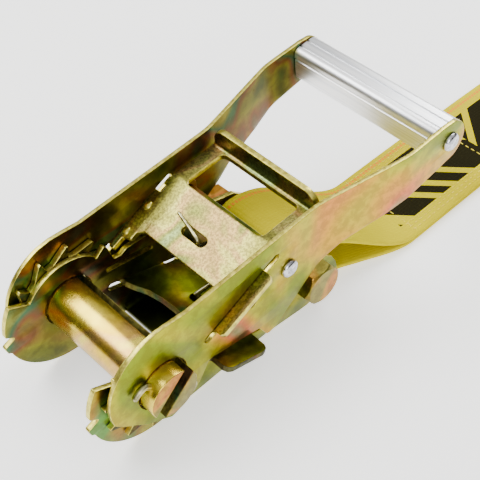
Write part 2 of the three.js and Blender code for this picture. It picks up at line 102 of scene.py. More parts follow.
def stand(x, y, z):
    """A point of the buckle's frame, in mm, as a point of the shared frame, in metres."""
    c, s = math.cos(TILT), math.sin(TILT)
    return DRUM + Vector((c * x - s * z, y, s * x + c * z)) * MM


def lie(x, y, z):
    """A point of the laid-out webbing: mm from under the drum's axis, z above the floor."""
    return Vector((DRUM.x + x * MM, y * MM, z * MM))


BOLT_PLACE = stand(BOLT[0], 0, BOLT[1])
BOLT_X = (BOLT_PLACE.x - DRUM.x) / MM
BOLT_Z = BOLT_PLACE.z / MM
print("drum axis", tuple(round(v, 4) for v in DRUM), "bolt", round(BOLT_X, 2), round(BOLT_Z, 2))

# %% [markdown]
# ## Camera
#
# A long lens looks at the buckle from the drum's end, high on the near side. The camera could be
# aimed with a Track To constraint, but then its roll would be lost, so its axes are worked out
# from three angles. Its place and turn are given in the buckle's frame and stood up with it.

# %% Camera
LENS = 78.13
CAMERA_AT = (-108.8, -232.5, 350.7)
AZIMUTH, ELEVATION, ROLL = -38.3, 50.29, -7.42


def add_camera():
    data = bpy.data.cameras.new("camera")
    data.sensor_width = 36
    data.lens = LENS
    data.clip_start = 0.01
    data.clip_end = 20
    camera = bpy.data.objects.new("camera", data)
    bpy.context.scene.collection.objects.link(camera)
    azimuth, elevation, roll = (math.radians(a) for a in (AZIMUTH, ELEVATION, ROLL))
    back = Vector((
        math.sin(azimuth) * math.cos(elevation), -math.cos(azimuth) * math.cos(elevation), math.sin(elevation)
    ))
    right = Vector((0, 0, 1)).cross(back).normalized()
    up = back.cross(right)
    rolled_right = right * math.cos(roll) + up * math.sin(roll)
    rolled_up = up * math.cos(roll) - right * math.sin(roll)
    tilt = Matrix.Rotation(-TILT, 3, "Y")
    axes = Matrix([tilt @ axis for axis in (rolled_right, rolled_up, back)]).transposed()
    camera.matrix_world = Matrix.Translation(stand(*CAMERA_AT)) @ axes.to_4x4()
    bpy.context.scene.camera = camera
    return camera


camera = add_camera()
print("camera", tuple(round(v, 3) for v in camera.location), "lens", camera.data.lens)

# %% [markdown]
# ## Materials
#
# Each finish is a small node tree made in code, so that its sizes and colours stay readable and
# can be changed in one place. They could be painted as images instead, but a procedural finish
# has no seams and holds at any distance. `add` puts one node in a tree with its settings and
# links, and colours are sRGB hex values that `linear` turns to the linear ones Blender works in.

# %% Material helpers
def linear(colour):
    """An sRGB hex colour as linear RGBA."""
    channels = [int(colour[i:i + 2], 16) / 255 for i in (1, 3, 5)]
    return tuple(c / 12.92 if c <= 0.04045 else ((c + 0.055) / 1.055) ** 2.4 for c in channels) + (1.0,)


def feed(tree, socket, value):
    """A socket takes a constant, another socket, or a node, which gives its first output."""
    source = value.outputs[0] if isinstance(value, bpy.types.Node) else value
    if isinstance(source, bpy.types.NodeSocket):
        tree.links.new(source, socket)
    else:
        socket.default_value = source


def add(tree, kind, inputs=None, stops=(), **settings):
    """Adds a node; stops are the (position, hex colour) pairs of a colour ramp."""
    node = tree.nodes.new(kind)
    for key, value in settings.items():
        setattr(node, key, value)
    for key, value in (inputs or {}).items():
        feed(tree, node.inputs[key], value)
    if stops:
        elements = node.color_ramp.elements
        while len(elements) < len(stops):
            elements.new(0.5)
        for element, (position, colour) in zip(elements, stops):
            element.position = position
            element.color = linear(colour)
    return node


def new_material(name):
    material = bpy.data.materials.new(name)
    material.use_nodes = True
    return material, material.node_tree, material.node_tree.nodes["Principled BSDF"]


def finish_shader(tree, shader, **inputs):
    """Wires or sets the shader's inputs; underscores in a name stand for spaces."""
    for key, value in inputs.items():
        feed(tree, shader.inputs[key.replace("_", " ")], value)


def grain_of(tree, size, detail, roughness, distortion=0.0, stretch=(1, 1, 1), seed=0.0):
    """An uneven pattern whose patches are about size mm across, fixed to the piece itself."""
    place = add(tree, "ShaderNodeTexCoord").outputs["Object"]
    moved = add(tree, "ShaderNodeMapping", {
        "Vector": place, "Scale": stretch, "Location": (seed, seed, seed)
    })
    return add(tree, "ShaderNodeTexNoise", {
        "Vector": moved, "Scale": 1 / (size * MM), "Detail": detail, "Roughness": roughness,
        "Distortion": distortion,
    })


print("mid grey #808080 is", round(linear("#808080")[0], 3), "in linear light")

# %% [markdown]
# ## Plated steel
#
# The sheet is zinc plated and dipped in a yellow passivation. The film is thinner than a
# wavelength of light, so its colour drifts between tan, pink and green over a few centimetres. A
# slow pattern picks one of five tones for that drift, a finer one darkens it in specks where the
# zinc grew unevenly, and rolling streaks roughen it a little. Real streaks are a few hundredths of
# a millimetre wide and are drawn at about one, or they would not show. A thin-film shader could do
# the drift from physics, but picked tones are easier to match to the plate and export well.

# %% Plated metals
TONE_START, TONE_STEP = 0.37, 0.065
STREAK_SIZE = 1.1111
RELIEF = 0.0002


def plated_zinc(name, tones, mottle, patch, rough, seed=0.0):
    """tones: colours along the drift; mottle: (mm, strength, dark colour); patch: drift in mm."""
    material, tree, shader = new_material(name)
    drift = grain_of(tree, patch, 2.0, 0.5, 0.8, seed=seed)
    base = add(tree, "ShaderNodeValToRGB", {"Fac": drift}, [
        (TONE_START + TONE_STEP * i, tone) for i, tone in enumerate(tones)
    ])
    speck_size, speck_strength, speck_colour = mottle
    specks = grain_of(tree, speck_size, 6.0, 0.65, 0.3, seed=seed + 3)
    mask = add(tree, "ShaderNodeValToRGB", {"Fac": specks}, [(0.43, "#FFFFFF"), (0.58, "#000000")])
    amount = add(tree, "ShaderNodeMath", {0: mask, 1: speck_strength}, operation="MULTIPLY")
    colour = add(tree, "ShaderNodeMix", {0: amount, 6: base, 7: linear(speck_colour)}, data_type="RGBA")
    streak = grain_of(tree, STREAK_SIZE, 3.0, 0.6, stretch=(0.08, 1, 1), seed=seed)
    finish_shader(
        tree, shader, Base_Color=colour.outputs[2], Metallic=1.0,
        Roughness=add(tree, "ShaderNodeMapRange", {"Value": specks, "To Min": rough[0], "To Max": rough[1]}),
        Normal=add(tree, "ShaderNodeBump", {"Height": streak, "Strength": 0.12, "Distance": RELIEF}),
    )
    return material


# Yellow passivated sheet: tan with wide drifts of green and pink, and a satin shine.
ZINC = plated_zinc(
    "yellow_zinc_plate", ["#7C8A08", "#AEA60C", "#C8961C", "#CE6E44", "#4E9C6A"],
    mottle=(4.5455, 0.34, "#54420E"), patch=66.667, rough=(0.28, 0.44),
)
# The same plate with a thicker film: the frame and the stop pawl look olive beside the handle.
OLIVE = plated_zinc(
    "olive_zinc_plate", ["#5E6C0C", "#848A10", "#A0921A", "#947024", "#5C8A3C"],
    mottle=(3.8462, 0.36, "#3E3A10"), patch=55.556, rough=(0.28, 0.44), seed=16.0,
)
# Faces turned inward, the channel's floor and the brace get this darker copy of the plate as painted shade
# for the room between the plates: darker, glossier, with a rust-brown tint.
ZINC_PAINTED_SHADE = plated_zinc(
    "yellow_zinc_plate_painted_shade", ["#48541A", "#7E7A20", "#7C4C2A", "#3C6848", "#98902C"],
    mottle=(8.3333, 0.40, "#33260F"), patch=45.455, rough=(0.22, 0.40), seed=4.0,
)
# The slide is rubbed by fingers: paler, with small dark specks close together.
PALE = plated_zinc(
    "pale_zinc_plate", ["#8E8A3C", "#AEA654", "#A88A52", "#767A36", "#84965C"],
    mottle=(1.1111, 0.58, "#332E22"), patch=33.333, rough=(0.24, 0.40), seed=9.0,
)
# Forged and turned steel takes the film browner than sheet: the bolt, the nut, the bars' ends.
BOLT_ZINC = plated_zinc(
    "bolt_zinc_plate", ["#9A6A1E", "#B48030", "#B87438", "#BC8C34", "#8C8438"],
    mottle=(3.8462, 0.40, "#4A300E"), patch=25.0, rough=(0.25, 0.40), seed=6.0,
)
# The drum is polished by the strap: bright, straw coloured and the smoothest of the plates.
DRUM_ZINC = plated_zinc(
    "drum_zinc_plate", ["#C8AC2C", "#DEC644", "#D2B034", "#C8A058", "#D8C450"],
    mottle=(2.381, 0.20, "#7E5E1A"), patch=33.333, rough=(0.18, 0.30), seed=2.0,
)
# A darker copy of the plate, painted shade for the wheels between the plates, the pawl's edges and the drum's
# slot: dull and blotched.
SHADED_ZINC = plated_zinc(
    "shaded_zinc_plate", ["#4E4C1E", "#6C6428", "#62462C", "#405C38", "#787032"],
    mottle=(3.8462, 0.60, "#221C10"), patch=38.462, rough=(0.35, 0.55), seed=12.0,
)
plated = (ZINC, OLIVE, ZINC_PAINTED_SHADE, PALE, BOLT_ZINC, DRUM_ZINC, SHADED_ZINC)
print("plated metals", [material.name for material in plated])

# %% [markdown]
# ## Plain metals
#
# Sheared edges, wire, rivets and the extruded grip have one colour each and show only how they
# were made: drawn, headed or pushed through a die. One pattern carries the colour, the roughness
# and the relief together, because on real metal a scratch is darker, rougher and lower at once.

# %% Plain metals
def plain_metal(name, colour, dark, rough, size=3.3333, stretch=(1, 1, 1), relief=0.1):
    """colour and dark: the two ends of the grain; size: the grain in mm."""
    material, tree, shader = new_material(name)
    grain = grain_of(tree, size, 5.0, 0.6, stretch=stretch)
    finish_shader(
        tree, shader, Metallic=1.0,
        Base_Color=add(tree, "ShaderNodeValToRGB", {"Fac": grain}, [(0.3, dark), (0.6, colour)]),
        Roughness=add(tree, "ShaderNodeMapRange", {"Value": grain, "To Min": rough[0], "To Max": rough[1]}),
        Normal=add(tree, "ShaderNodeBump", {"Height": grain, "Strength": relief, "Distance": RELIEF}),
    )
    return material


# Cut edges, and the slide's dimples, are painted lighter than the faces beside them: a painted highlight that
# draws the plate's outline.
EDGE_HIGHLIGHT = plain_metal("zinc_edge_painted_highlight", "#DCD060", "#9C8C34", (0.25, 0.40), size=2.0)
# Plated wire and tube: a warm grey with soft highlights.
STEEL = plain_metal("zinc_plated_wire", "#C2BC8E", "#6E6844", (0.26, 0.40))
# Headed rivets are left bright: nearly white, with a tight highlight.
BRIGHT = plain_metal("bright_rivet_steel", "#DEDEE2", "#8A8A90", (0.14, 0.30), size=2.381)
# An extrusion's die lines run its whole length. Real ones are finer than a tenth of a millimetre
# and are drawn at about one, or they would not show.
ALUMINIUM = plain_metal(
    "extruded_aluminium", "#FFFFFF", "#E2E4E8", (0.34, 0.48), size=1.1111, stretch=(1, 0.02, 1), relief=0.06
)
print("plain metals", [material.name for material in (EDGE_HIGHLIGHT, STEEL, BRIGHT, ALUMINIUM)])

# %% [markdown]
# ## Webbing and thread
#
# The strap is woven from flat polyester yarns: ribs run along it and the picks cross them. An
# image of cloth would tile and blur, and modelled yarns would cost millions of faces, so the
# weave is two ripples in a material. They read the strap's own UV map, which runs along the strap
# (u) and across it (v) in metres, so weave, print and tracer ticks turn with every loop.

# %% Textiles
RIB_SPACING, PICK_SPACING = 1.6129, 2.0833
DYE_PATCH, TWIST = 35.714, 0.41667
TRACER_MIDDLE, TRACER_HALF = 21.2, 0.9
PRINT_REPEAT, PRINT_LEAN, PRINT_HALF_WIDTH = 85.0, 0.9, 16.5
PRINT_BLOCKS = ((0.17, 0.17), (0.45, 0.05), (0.60, 0.04), (0.80, 0.10))
PRINT_GAP_MIDDLE, PRINT_GAP_HALF = 150.0, 78.0


def yarn_ripple(tree, coordinate, spacing):
    """Flat-topped ripples, 0 between two yarns and 1 on them; spacing in mm."""
    turn = 2 * math.pi / (spacing * MM)
    angle = add(tree, "ShaderNodeMath", {0: coordinate, 1: turn}, operation="MULTIPLY")
    wave = add(tree, "ShaderNodeMath", {0: angle}, operation="SINE")
    return add(tree, "ShaderNodeMath", {0: wave, 1: 1.0}, operation="ADD", use_clamp=True)


def printed_bars(tree, along, across):
    """1 on the slanted blocks down the middle of the strap, a generic printed band, else 0."""
    lean = add(tree, "ShaderNodeMath", {0: across, 1: PRINT_LEAN}, operation="MULTIPLY")
    slanted = add(tree, "ShaderNodeMath", {0: along, 1: lean}, operation="SUBTRACT")
    repeats = add(tree, "ShaderNodeMath", {0: slanted, 1: PRINT_REPEAT * MM}, operation="DIVIDE")
    part = add(tree, "ShaderNodeMath", {0: repeats}, operation="FRACT")
    blocks = 0.0
    for middle, half in PRINT_BLOCKS:
        block = add(tree, "ShaderNodeMath", {0: part, 1: middle, 2: half}, operation="COMPARE")
        blocks = add(tree, "ShaderNodeMath", {0: blocks, 1: block}, operation="MAXIMUM")
    band = add(tree, "ShaderNodeMath", {0: across, 1: 0.0, 2: PRINT_HALF_WIDTH * MM}, operation="COMPARE")
    near_bolt = add(tree, "ShaderNodeMath", {
        0: along, 1: PRINT_GAP_MIDDLE * MM, 2: PRINT_GAP_HALF * MM
    }, operation="COMPARE")
    bare = add(tree, "ShaderNodeMath", {0: near_bolt, 1: band}, operation="MULTIPLY")
    shown = add(tree, "ShaderNodeMath", {0: band, 1: bare}, operation="SUBTRACT")
    return add(tree, "ShaderNodeMath", {0: blocks, 1: shown}, operation="MULTIPLY")


print("print repeats every", PRINT_REPEAT, "mm; ribs are", RIB_SPACING, "mm apart")

# %% [markdown]
# ## Dye and thread
#
# The yarn is dyed before it is woven, the tracer is a dyed warp yarn that dips under every other
# pick, and the print lies on top. Colours are laid over each other in that order, each by its own
# amount, which is easier to follow than one big mix. The relief is the same two ripples.

# %% Textile materials
def webbing_colour(tree, along, across, ribs, picks):
    """Dyed yarn with a painted shade that follows the rib ripple, an orange tracer beside a selvedge and a
    black print.
    """
    tone = grain_of(tree, DYE_PATCH, 3.0, 0.5)
    dyed = add(tree, "ShaderNodeValToRGB", {"Fac": tone}, [(0.35, "#C6B600"), (0.65, "#D2C400")])
    painted_rib_shade = add(tree, "ShaderNodeMath", {0: ribs, 1: 0.10}, operation="MULTIPLY")
    line = add(tree, "ShaderNodeMath", {
        0: across, 1: TRACER_MIDDLE * MM, 2: TRACER_HALF * MM
    }, operation="COMPARE")
    ticks = add(tree, "ShaderNodeMath", {0: picks, 1: 1.0, 2: 0.55}, operation="COMPARE")
    tracer = add(tree, "ShaderNodeMath", {0: line, 1: ticks}, operation="MULTIPLY")
    faint_tracer = add(tree, "ShaderNodeMath", {0: tracer, 1: 0.75}, operation="MULTIPLY")
    print_mask = printed_bars(tree, along, across)
    worn_print = add(tree, "ShaderNodeMath", {0: print_mask, 1: 0.98}, operation="MULTIPLY")
    colour = dyed.outputs["Color"]
    # The first layer is painted shade along the ribs; then the tracer and the print.
    for amount, over in ((painted_rib_shade, "#A88C00"), (faint_tracer, "#F08020"), (worn_print, "#07070C")):
        layer = add(tree, "ShaderNodeMix", {0: amount, 6: colour, 7: linear(over)}, data_type="RGBA")
        colour = layer.outputs[2]
    return colour


def webbing_material():
    material, tree, shader = new_material("woven_polyester_webbing")
    strap = add(tree, "ShaderNodeUVMap", uv_map="strap")
    axes = add(tree, "ShaderNodeSeparateXYZ", {"Vector": strap}).outputs
    along, across = axes["X"], axes["Y"]
    ribs = yarn_ripple(tree, across, RIB_SPACING)
    picks = yarn_ripple(tree, along, PICK_SPACING)
    low_picks = add(tree, "ShaderNodeMath", {0: picks, 1: 0.6}, operation="MULTIPLY")
    weave = add(tree, "ShaderNodeMath", {0: ribs, 1: low_picks}, operation="ADD")
    finish_shader(
        tree, shader, Base_Color=webbing_colour(tree, along, across, ribs, picks), Roughness=0.80,
        Specular_IOR_Level=0.05,
        Normal=add(tree, "ShaderNodeBump", {"Height": weave, "Strength": 0.45, "Distance": 0.0003}),
    )
    return material


def thread_material():
    material, tree, shader = new_material("polyester_thread")
    twist = grain_of(tree, TWIST, 2.0, 0.5)
    finish_shader(
        tree, shader, Roughness=0.6,
        Base_Color=add(tree, "ShaderNodeValToRGB", {"Fac": twist}, [(0.3, "#C9A800"), (0.7, "#FFF04A")]),
        Normal=add(tree, "ShaderNodeBump", {"Height": twist, "Strength": 0.4, "Distance": RELIEF}),
    )
    return material


# Dyed polyester webbing: a strong matt yellow, ribbed, with no shine of its own.
WEBBING = webbing_material()
# Sewing thread: the strap's yellow a little lighter, its twist just showing.
THREAD = thread_material()
print("textiles", WEBBING.name, THREAD.name)

# %% [markdown]
# ## Outlines
#
# A pressed part starts as a flat outline with round corners. It could be drawn as Bezier handles,
# but corners and arcs are what a drawing gives, so an outline is a list of both: `trace` turns it
# into points, and `soften` rounds every corner as a worn punch does.

# %% Outlines
def trace(steps, fine=5.0):
    """Corners (a, b) and arcs (centre, radius, from, to) in degrees, as one list of points."""
    points = []
    for step in steps:
        if len(step) == 2:
            points.append(tuple(step))
            continue
        (a, b), radius, start, end = step
        count = max(2, round(abs(end - start) / fine))
        for i in range(count + 1):
            angle = math.radians(start + (end - start) * i / count)
            points.append((a + radius * math.cos(angle), b + radius * math.sin(angle)))
    return points


def soften(points, radius=1.0, steps=4):
    """Rounds every corner that turns more than a few degrees."""
    softened = []
    for i, point in enumerate(points):
        here = Vector(point)
        back, on = Vector(points[i - 1]) - here, Vector(points[(i + 1) % len(points)]) - here
        turn = math.pi - back.angle(on)
        if turn < math.radians(14):
            softened.append(tuple(here))
            continue
        reach = min(radius * math.tan(turn / 2), 0.42 * back.length, 0.42 * on.length)
        start, end = here + back.normalized() * reach, here + on.normalized() * reach
        for k in range(steps + 1):
            t = k / steps
            softened.append(tuple(start * (1 - t) ** 2 + here * 2 * t * (1 - t) + end * t * t))
    return softened


def round_hole(a, b, radius):
    return trace([((a, b), radius, 0, 352.5)], 7.5)


def slot_hole(start, end, width):
    """A slot with round ends between two points."""
    angle = math.degrees(math.atan2(end[1] - start[1], end[0] - start[0]))
    return trace([(start, width / 2, angle + 90, angle + 270), (end, width / 2, angle - 90, angle + 90)], 12)


def mirrored(points):
    """Closes a half outline with its mirror image below b = 0."""
    return points + [(a, -b) for a, b in reversed(points)]


print("a 6 mm hole has", len(round_hole(0, 0, 3)), "corners")

# %% [markdown]
# ## Plates
#
# Sheet metal is cut flat and then bent, with edges rolled over by the punch. An extruded mesh with
# a Bevel modifier would do, but a filled 2D curve gives holes and an even rolled edge in one
# go. `blank` makes that plate, `bisect` gives it the cuts that a bend needs, and a placing function
# carries every point to its place in the shared frame.

# %% Plates
def face_out(bm):
    """Turns every face of a closed mesh outward."""
    bmesh.ops.recalc_face_normals(bm, faces=bm.faces)
    if bm.calc_volume(signed=True) < 0:
        bmesh.ops.reverse_faces(bm, faces=bm.faces)


def blank(outline, holes=(), thick=2.0, edge=0.3):
    """A bmesh plate in (a, b, thickness), in mm, centred on its middle plane, with rolled edges."""
    curve = bpy.data.curves.new("outline", "CURVE")
    curve.dimensions = "2D"
    curve.fill_mode = "BOTH"
    curve.extrude = thick / 2 - edge
    curve.bevel_depth = edge
    curve.bevel_resolution = 2
    curve.offset = -edge
    for points in (outline, *holes):
        spline = curve.splines.new("POLY")
        spline.points.add(len(points) - 1)
        spline.points.foreach_set("co", [v for a, b in points for v in (a, b, 0.0, 1.0)])
        spline.use_cyclic_u = True
    holder = bpy.data.objects.new("outline", curve)
    bpy.context.scene.collection.objects.link(holder)
    mesh = bpy.data.meshes.new_from_object(holder)
    bm = bmesh.new()
    bm.from_mesh(mesh)
    bmesh.ops.remove_doubles(bm, verts=bm.verts, dist=1e-4)
    face_out(bm)
    bpy.data.objects.remove(holder)
    bpy.data.curves.remove(curve)
    bpy.data.meshes.remove(mesh)
    return bm


def mark_faces(bm, edge=1, inner=None, inward=1.0):
    """Cut edges get material 1; faces whose normal runs along inward get the inner material, a darker copy
    painted as the shade between plates.
    """
    for face in bm.faces:
        if abs(face.normal.z) < 0.85:
            face.material_index = edge
        elif inner is not None and face.normal.z * inward > 0:
            face.material_index = inner


def bisect(bm, stations):
    """Cuts the plate across at each a, so that it can bend there."""
    for a in stations:
        everything = bm.verts[:] + bm.edges[:] + bm.faces[:]
        bmesh.ops.bisect_plane(bm, geom=everything, plane_co=(a, 0, 0), plane_no=(1, 0, 0), dist=1e-5)


def upright(middle, sway=lambda a: 0.0):
    """Stands a blank on edge: a is x, b is z, and its thickness lies along y about the middle."""
    return lambda p: stand(p.x, middle - p.z + sway(p.x), p.y)


def place(bm, where):
    for vert in bm.verts:
        vert.co = where(vert.co.copy())


sample = blank(round_hole(0, 0, 10))
print("a 20 mm washer blank has", len(sample.faces), "faces")
sample.free()

# %% [markdown]
# ## Finished pieces
#
# Each real part becomes one object whose mesh already lies in its place, so the object itself
# stays at the origin. `piece` gives it its materials, shades it smooth up to a sharp angle, and
# says which body it rides on and which CAD solid it takes the place of.

# %% Finished pieces
SHARP_ANGLE = 24.0


def merge(*parts):
    """Several bmeshes as one."""
    whole = bmesh.new()
    for part in parts:
        mesh = bpy.data.meshes.new("part")
        part.to_mesh(mesh)
        whole.from_mesh(mesh)
        bpy.data.meshes.remove(mesh)
        part.free()
    return whole


def piece(name, bm, materials, body, stands_for, sharp=SHARP_ANGLE):
    """Turns a bmesh into a finished piece that rides on a body and stands for CAD nodes."""
    mesh = bpy.data.meshes.new(name)
    bm.to_mesh(mesh)
    bm.free()
    for material in materials:
        mesh.materials.append(material)
    mesh.polygons.foreach_set("use_smooth", [True] * len(mesh.polygons))
    mesh.set_sharp_from_angle(angle=math.radians(sharp))
    obj = bpy.data.objects.new(f"{name}_finished", mesh)
    bpy.context.scene.collection.objects.link(obj)
    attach(obj, body)
    if stands_for:
        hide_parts(*stands_for)
    return obj


print("pieces are smooth up to", SHARP_ANGLE, "degrees")

# %% [markdown]
# ## Turned parts and wires
#
# The bolt, sleeve and rivets are round about one line, and the springs, pins and hook are round
# wire. A Screw modifier and a bevelled curve would make them too, but rings of vertices joined
# by faces give closed ends and full control of a wire's rounded tips.

# %% Turned parts and wires
def turned(profile, axis, segments=56):
    """A solid of revolution about a line along y through axis (x, z); profile is (radius, y)."""
    bm = bmesh.new()
    rings = []
    for radius, y in profile:
        if radius == 0:
            rings.append([bm.verts.new(stand(axis[0], y, axis[1]))])
            continue
        ring = []
        for i in range(segments):
            angle = 2 * math.pi * i / segments
            ring.append(bm.verts.new(stand(
                axis[0] + radius * math.cos(angle), y, axis[1] + radius * math.sin(angle)
            )))
        rings.append(ring)
    closed = profile[0][0] != 0
    pairs = list(zip(rings, rings[1:])) + ([(rings[-1], rings[0])] if closed else [])
    for low, high in pairs:
        skin_rings(bm, low, high)
    face_out(bm)
    return bm


def skin_rings(bm, low, high):
    """Faces between two rings of vertices, either of which may be a single point."""
    count = max(len(low), len(high))
    for i in range(count):
        j = (i + 1) % count
        if len(low) == 1:
            bm.faces.new((low[0], high[i], high[j]))
        elif len(high) == 1:
            bm.faces.new((low[i], high[0], low[j]))
        else:
            bm.faces.new((low[i], high[i], high[j], low[j]))


def smooth_path(points, per_span=8):
    """A Catmull-Rom curve through the points, as closely spaced points."""
    ends = [points[0] * 2 - points[1], *points, points[-1] * 2 - points[-2]]
    path = []
    for a, b, c, d in zip(ends, ends[1:], ends[2:], ends[3:]):
        for k in range(per_span):
            t = k / per_span
            path.append(0.5 * (
                2 * b + (c - a) * t + (2 * a - 5 * b + 4 * c - d) * t * t + (3 * b - a - 3 * c + d) * t ** 3
            ))
    return path + [points[-1].copy()]


def tube(path, radius, sides=14, round_ends=True):
    """A round wire along a path of points, its frame carried along without twisting."""
    bm = bmesh.new()
    last = len(path) - 1
    tangents = [(path[min(i + 1, last)] - path[max(i - 1, 0)]).normalized() for i in range(last + 1)]
    normal = tangents[0].orthogonal().normalized()
    rings = []
    stations = [(0, -0.9, 0.42), (0, -0.55, 0.82)] if round_ends else []
    stations += [(i, 0.0, 1.0) for i in range(last + 1)]
    stations += [(last, 0.55, 0.82), (last, 0.9, 0.42)] if round_ends else []
    for i, out, scale in stations:
        tangent = tangents[i]
        normal = (normal - tangent * normal.dot(tangent)).normalized()
        side = tangent.cross(normal)
        centre = path[i] + tangent * out * radius
        rings.append([
            bm.verts.new(centre + (normal * math.cos(t) + side * math.sin(t)) * radius * scale)
            for t in (2 * math.pi * k / sides for k in range(sides))
        ])
    for low, high in zip(rings, rings[1:]):
        skin_rings(bm, low, high)
    bm.faces.new(rings[0])
    bm.faces.new(rings[-1])
    face_out(bm)
    return bm


curve_points = smooth_path([Vector((0, 0, 0)), Vector((1, 0, 0)), Vector((1, 1, 0))])
print("a wire through 3 points is drawn through", len(curve_points))

# %% [markdown]
# ## Webbing
#
# The fixed end is one strip of 50 mm webbing. It starts on top of the sewn lap near the buckle,
# runs back over the anchor bolt's sleeve, turns round it, lies along the floor to the hook, turns
# round the hook's bar and ends on top of the far lap. A cloth simulation would find its own way
# there, but a strap under its own stitches lies where it was sewn, so a rounded cross-section is
# swept once along that line and lifted a little off the floor where it is free.

# %% Webbing
def sway_at(x):
    t = min(max((x - BOLT_X - 17) / 45, 0.0), 1.0)
    return -SWAY * t * t * (3 - 2 * t)


def eased(start, end, step=2.0):
    """Points from start to end in (x, z) whose height eases in and out."""
    count = max(2, round(abs(end[0] - start[0]) / step))
    line = []
    for i in range(count + 1):
        t = i / count
        rise = t * t * (3 - 2 * t)
        line.append((start[0] + (end[0] - start[0]) * t, start[1] + (end[1] - start[1]) * rise))
    return line


def strip_line():
    """The middle line of the strip, (x, z) in mm, z above the floor."""
    half = WEB_THICK / 2
    round_bolt = 9.4 + half
    round_bar = HOOK_WIRE + 0.4 + half
    seam, lap = BOLT_X + 62, HOOK_BAR[0] - 84
    low, high = 0.3 + half, WEB_CLEARANCE + 3 * half
    pieces = [
        eased((seam + 72, high), (seam, high)),
        eased((seam, high), (BOLT_X, BOLT_Z + round_bolt)),
        trace([((BOLT_X, BOLT_Z), round_bolt, 90, 270)], 6),
        eased((BOLT_X, BOLT_Z - round_bolt), (BOLT_X + 34, low)),
        eased((BOLT_X + 34, low), (HOOK_BAR[0] - 40, low)),
        eased((HOOK_BAR[0] - 40, low), (HOOK_BAR[0], HOOK_BAR[1] - round_bar)),
        trace([((HOOK_BAR[0], HOOK_BAR[1]), round_bar, -90, 90)], 10),
        eased((HOOK_BAR[0], HOOK_BAR[1] + round_bar), (HOOK_BAR[0] - 16, high + 0.4)),
        eased((HOOK_BAR[0] - 16, high + 0.4), (lap, high)),
    ]
    line = pieces[0]
    for more in pieces[1:]:
        line += more[1:]
    return line


def strip_lengths(line):
    gaps = [math.dist(a, b) for a, b in zip(line, line[1:])]
    return [0.0, *np.cumsum(gaps)]


def strip_section(count=26):
    """One turn round the strip's cross-section, (across, out) in mm, with rounded selvedges."""
    half, thin = WEB_WIDTH / 2, WEB_THICK / 2
    top = [(half - 0.8 - (WEB_WIDTH - 1.6) * i / count, thin) for i in range(count + 1)]
    left = [(-half + 0.25, thin * 0.72), (-half, 0.0), (-half + 0.25, -thin * 0.72)]
    bottom = [(-a, -thin) for a, _ in top]
    right = [(-a, b) for a, b in reversed(left)]
    return top + left + bottom + right


print("strip", round(strip_lengths(strip_line())[-1]), "mm long, section of", len(strip_section()), "points")

# %% [markdown]
# ## The sweep
#
# Every station of the line gets one ring of the section, and neighbouring rings are joined by
# faces. The UV map is written at the same time, because only here are the distances along and
# across the strap known. The free part is lifted by a gentle ripple, as cloth that was rolled up
# never lies quite flat.

# %% Sweep the strap
def ripple(x, y):
    """How far cloth that was rolled up stands off the floor, in mm."""
    free = min(max((x - 150) / 60, 0.0), 1.0)
    wave = math.sin(x / 17 + y / 60) * math.sin(x / 41 + 1.3)
    edge = (abs(y + SWAY) / (WEB_WIDTH / 2)) ** 2
    return free * (0.35 + 0.35 * wave) * (0.4 + 0.8 * edge)


def make_webbing():
    line = strip_line()
    along = strip_lengths(line)
    section = strip_section()
    bm = bmesh.new()
    layer = bm.loops.layers.uv.new("strap")
    rings = []
    for i, (x, z) in enumerate(line):
        before, after = line[max(i - 1, 0)], line[min(i + 1, len(line) - 1)]
        tangent = Vector((after[0] - before[0], after[1] - before[1])).normalized()
        out = Vector((tangent.y, -tangent.x))
        ring = []
        for across, lift in section:
            px, pz = x + out.x * lift, z + out.y * lift
            y = across + sway_at(px)
            ring.append(bm.verts.new(lie(px, y, pz + ripple(px, y))))
        rings.append(ring)
    count = len(section)
    for i, (low, high) in enumerate(zip(rings, rings[1:])):
        for k in range(count):
            m = (k + 1) % count
            face = bm.faces.new((low[k], low[m], high[m], high[k]))
            spots = ((i, k), (i, m), (i + 1, m), (i + 1, k))
            for loop, (station, at) in zip(face.loops, spots):
                loop[layer].uv = (along[station] * MM, section[at][0] * MM)
    bm.faces.new(rings[0])
    bm.faces.new(list(reversed(rings[-1])))
    face_out(bm)
    webbing = piece("webbing", bm, [WEBBING], "frame", ["webbing"], 40)
    print("webbing strip", round(along[-1] / 1000, 3), "m")
    return webbing


webbing = make_webbing()

# %% [markdown]
# ## End hook
#
# The strap ends in a hook bent from one 8 mm wire: a bar inside the loop and two arms that curl
# over side by side. A bevelled curve would serve, but the tube helper already gives rounded
# tips. One arm is written down and mirrored, so the two stay alike.

# %% End hook
def hook_side(side):
    """One hooked arm of the bent wire, from its tip to the bar's corner; side is -1 or 1."""
    lie_z, bend, reach = HOOK_WIRE + 0.6, 13.0, HOOK_BAR[0] + 52
    spots = [
        (reach - 16, 6, lie_z + 2 * bend + 1), (reach - 6, 6, lie_z + 2 * bend),
        (reach, 6, lie_z + 2 * bend - 1),
        (reach + bend * 0.8, 6, lie_z + bend * 1.6), (reach + bend, 6, lie_z + bend),
        (reach + bend * 0.8, 6, lie_z + bend * 0.4), (reach, 6, lie_z), (reach - 14, 8, lie_z),
        (reach - 30, 18, lie_z), (reach - 42, 28.5, lie_z + 1), (HOOK_BAR[0] + 2, 30.6, HOOK_BAR[1] - 0.3),
    ]
    return [lie(x, side * y - SWAY, z) for x, y, z in spots]


def make_hook():
    bar = [lie(HOOK_BAR[0], y - SWAY, HOOK_BAR[1]) for y in (-27, -12, 12, 27)]
    path = smooth_path([*hook_side(-1), *bar, *reversed(hook_side(1))])
    return piece("end_hook", tube(path, HOOK_WIRE * MM, 24), [ZINC], "frame", ["end_hook"], 60)


end_hook = make_hook()
print("hook", len(end_hook.data.polygons), "faces")

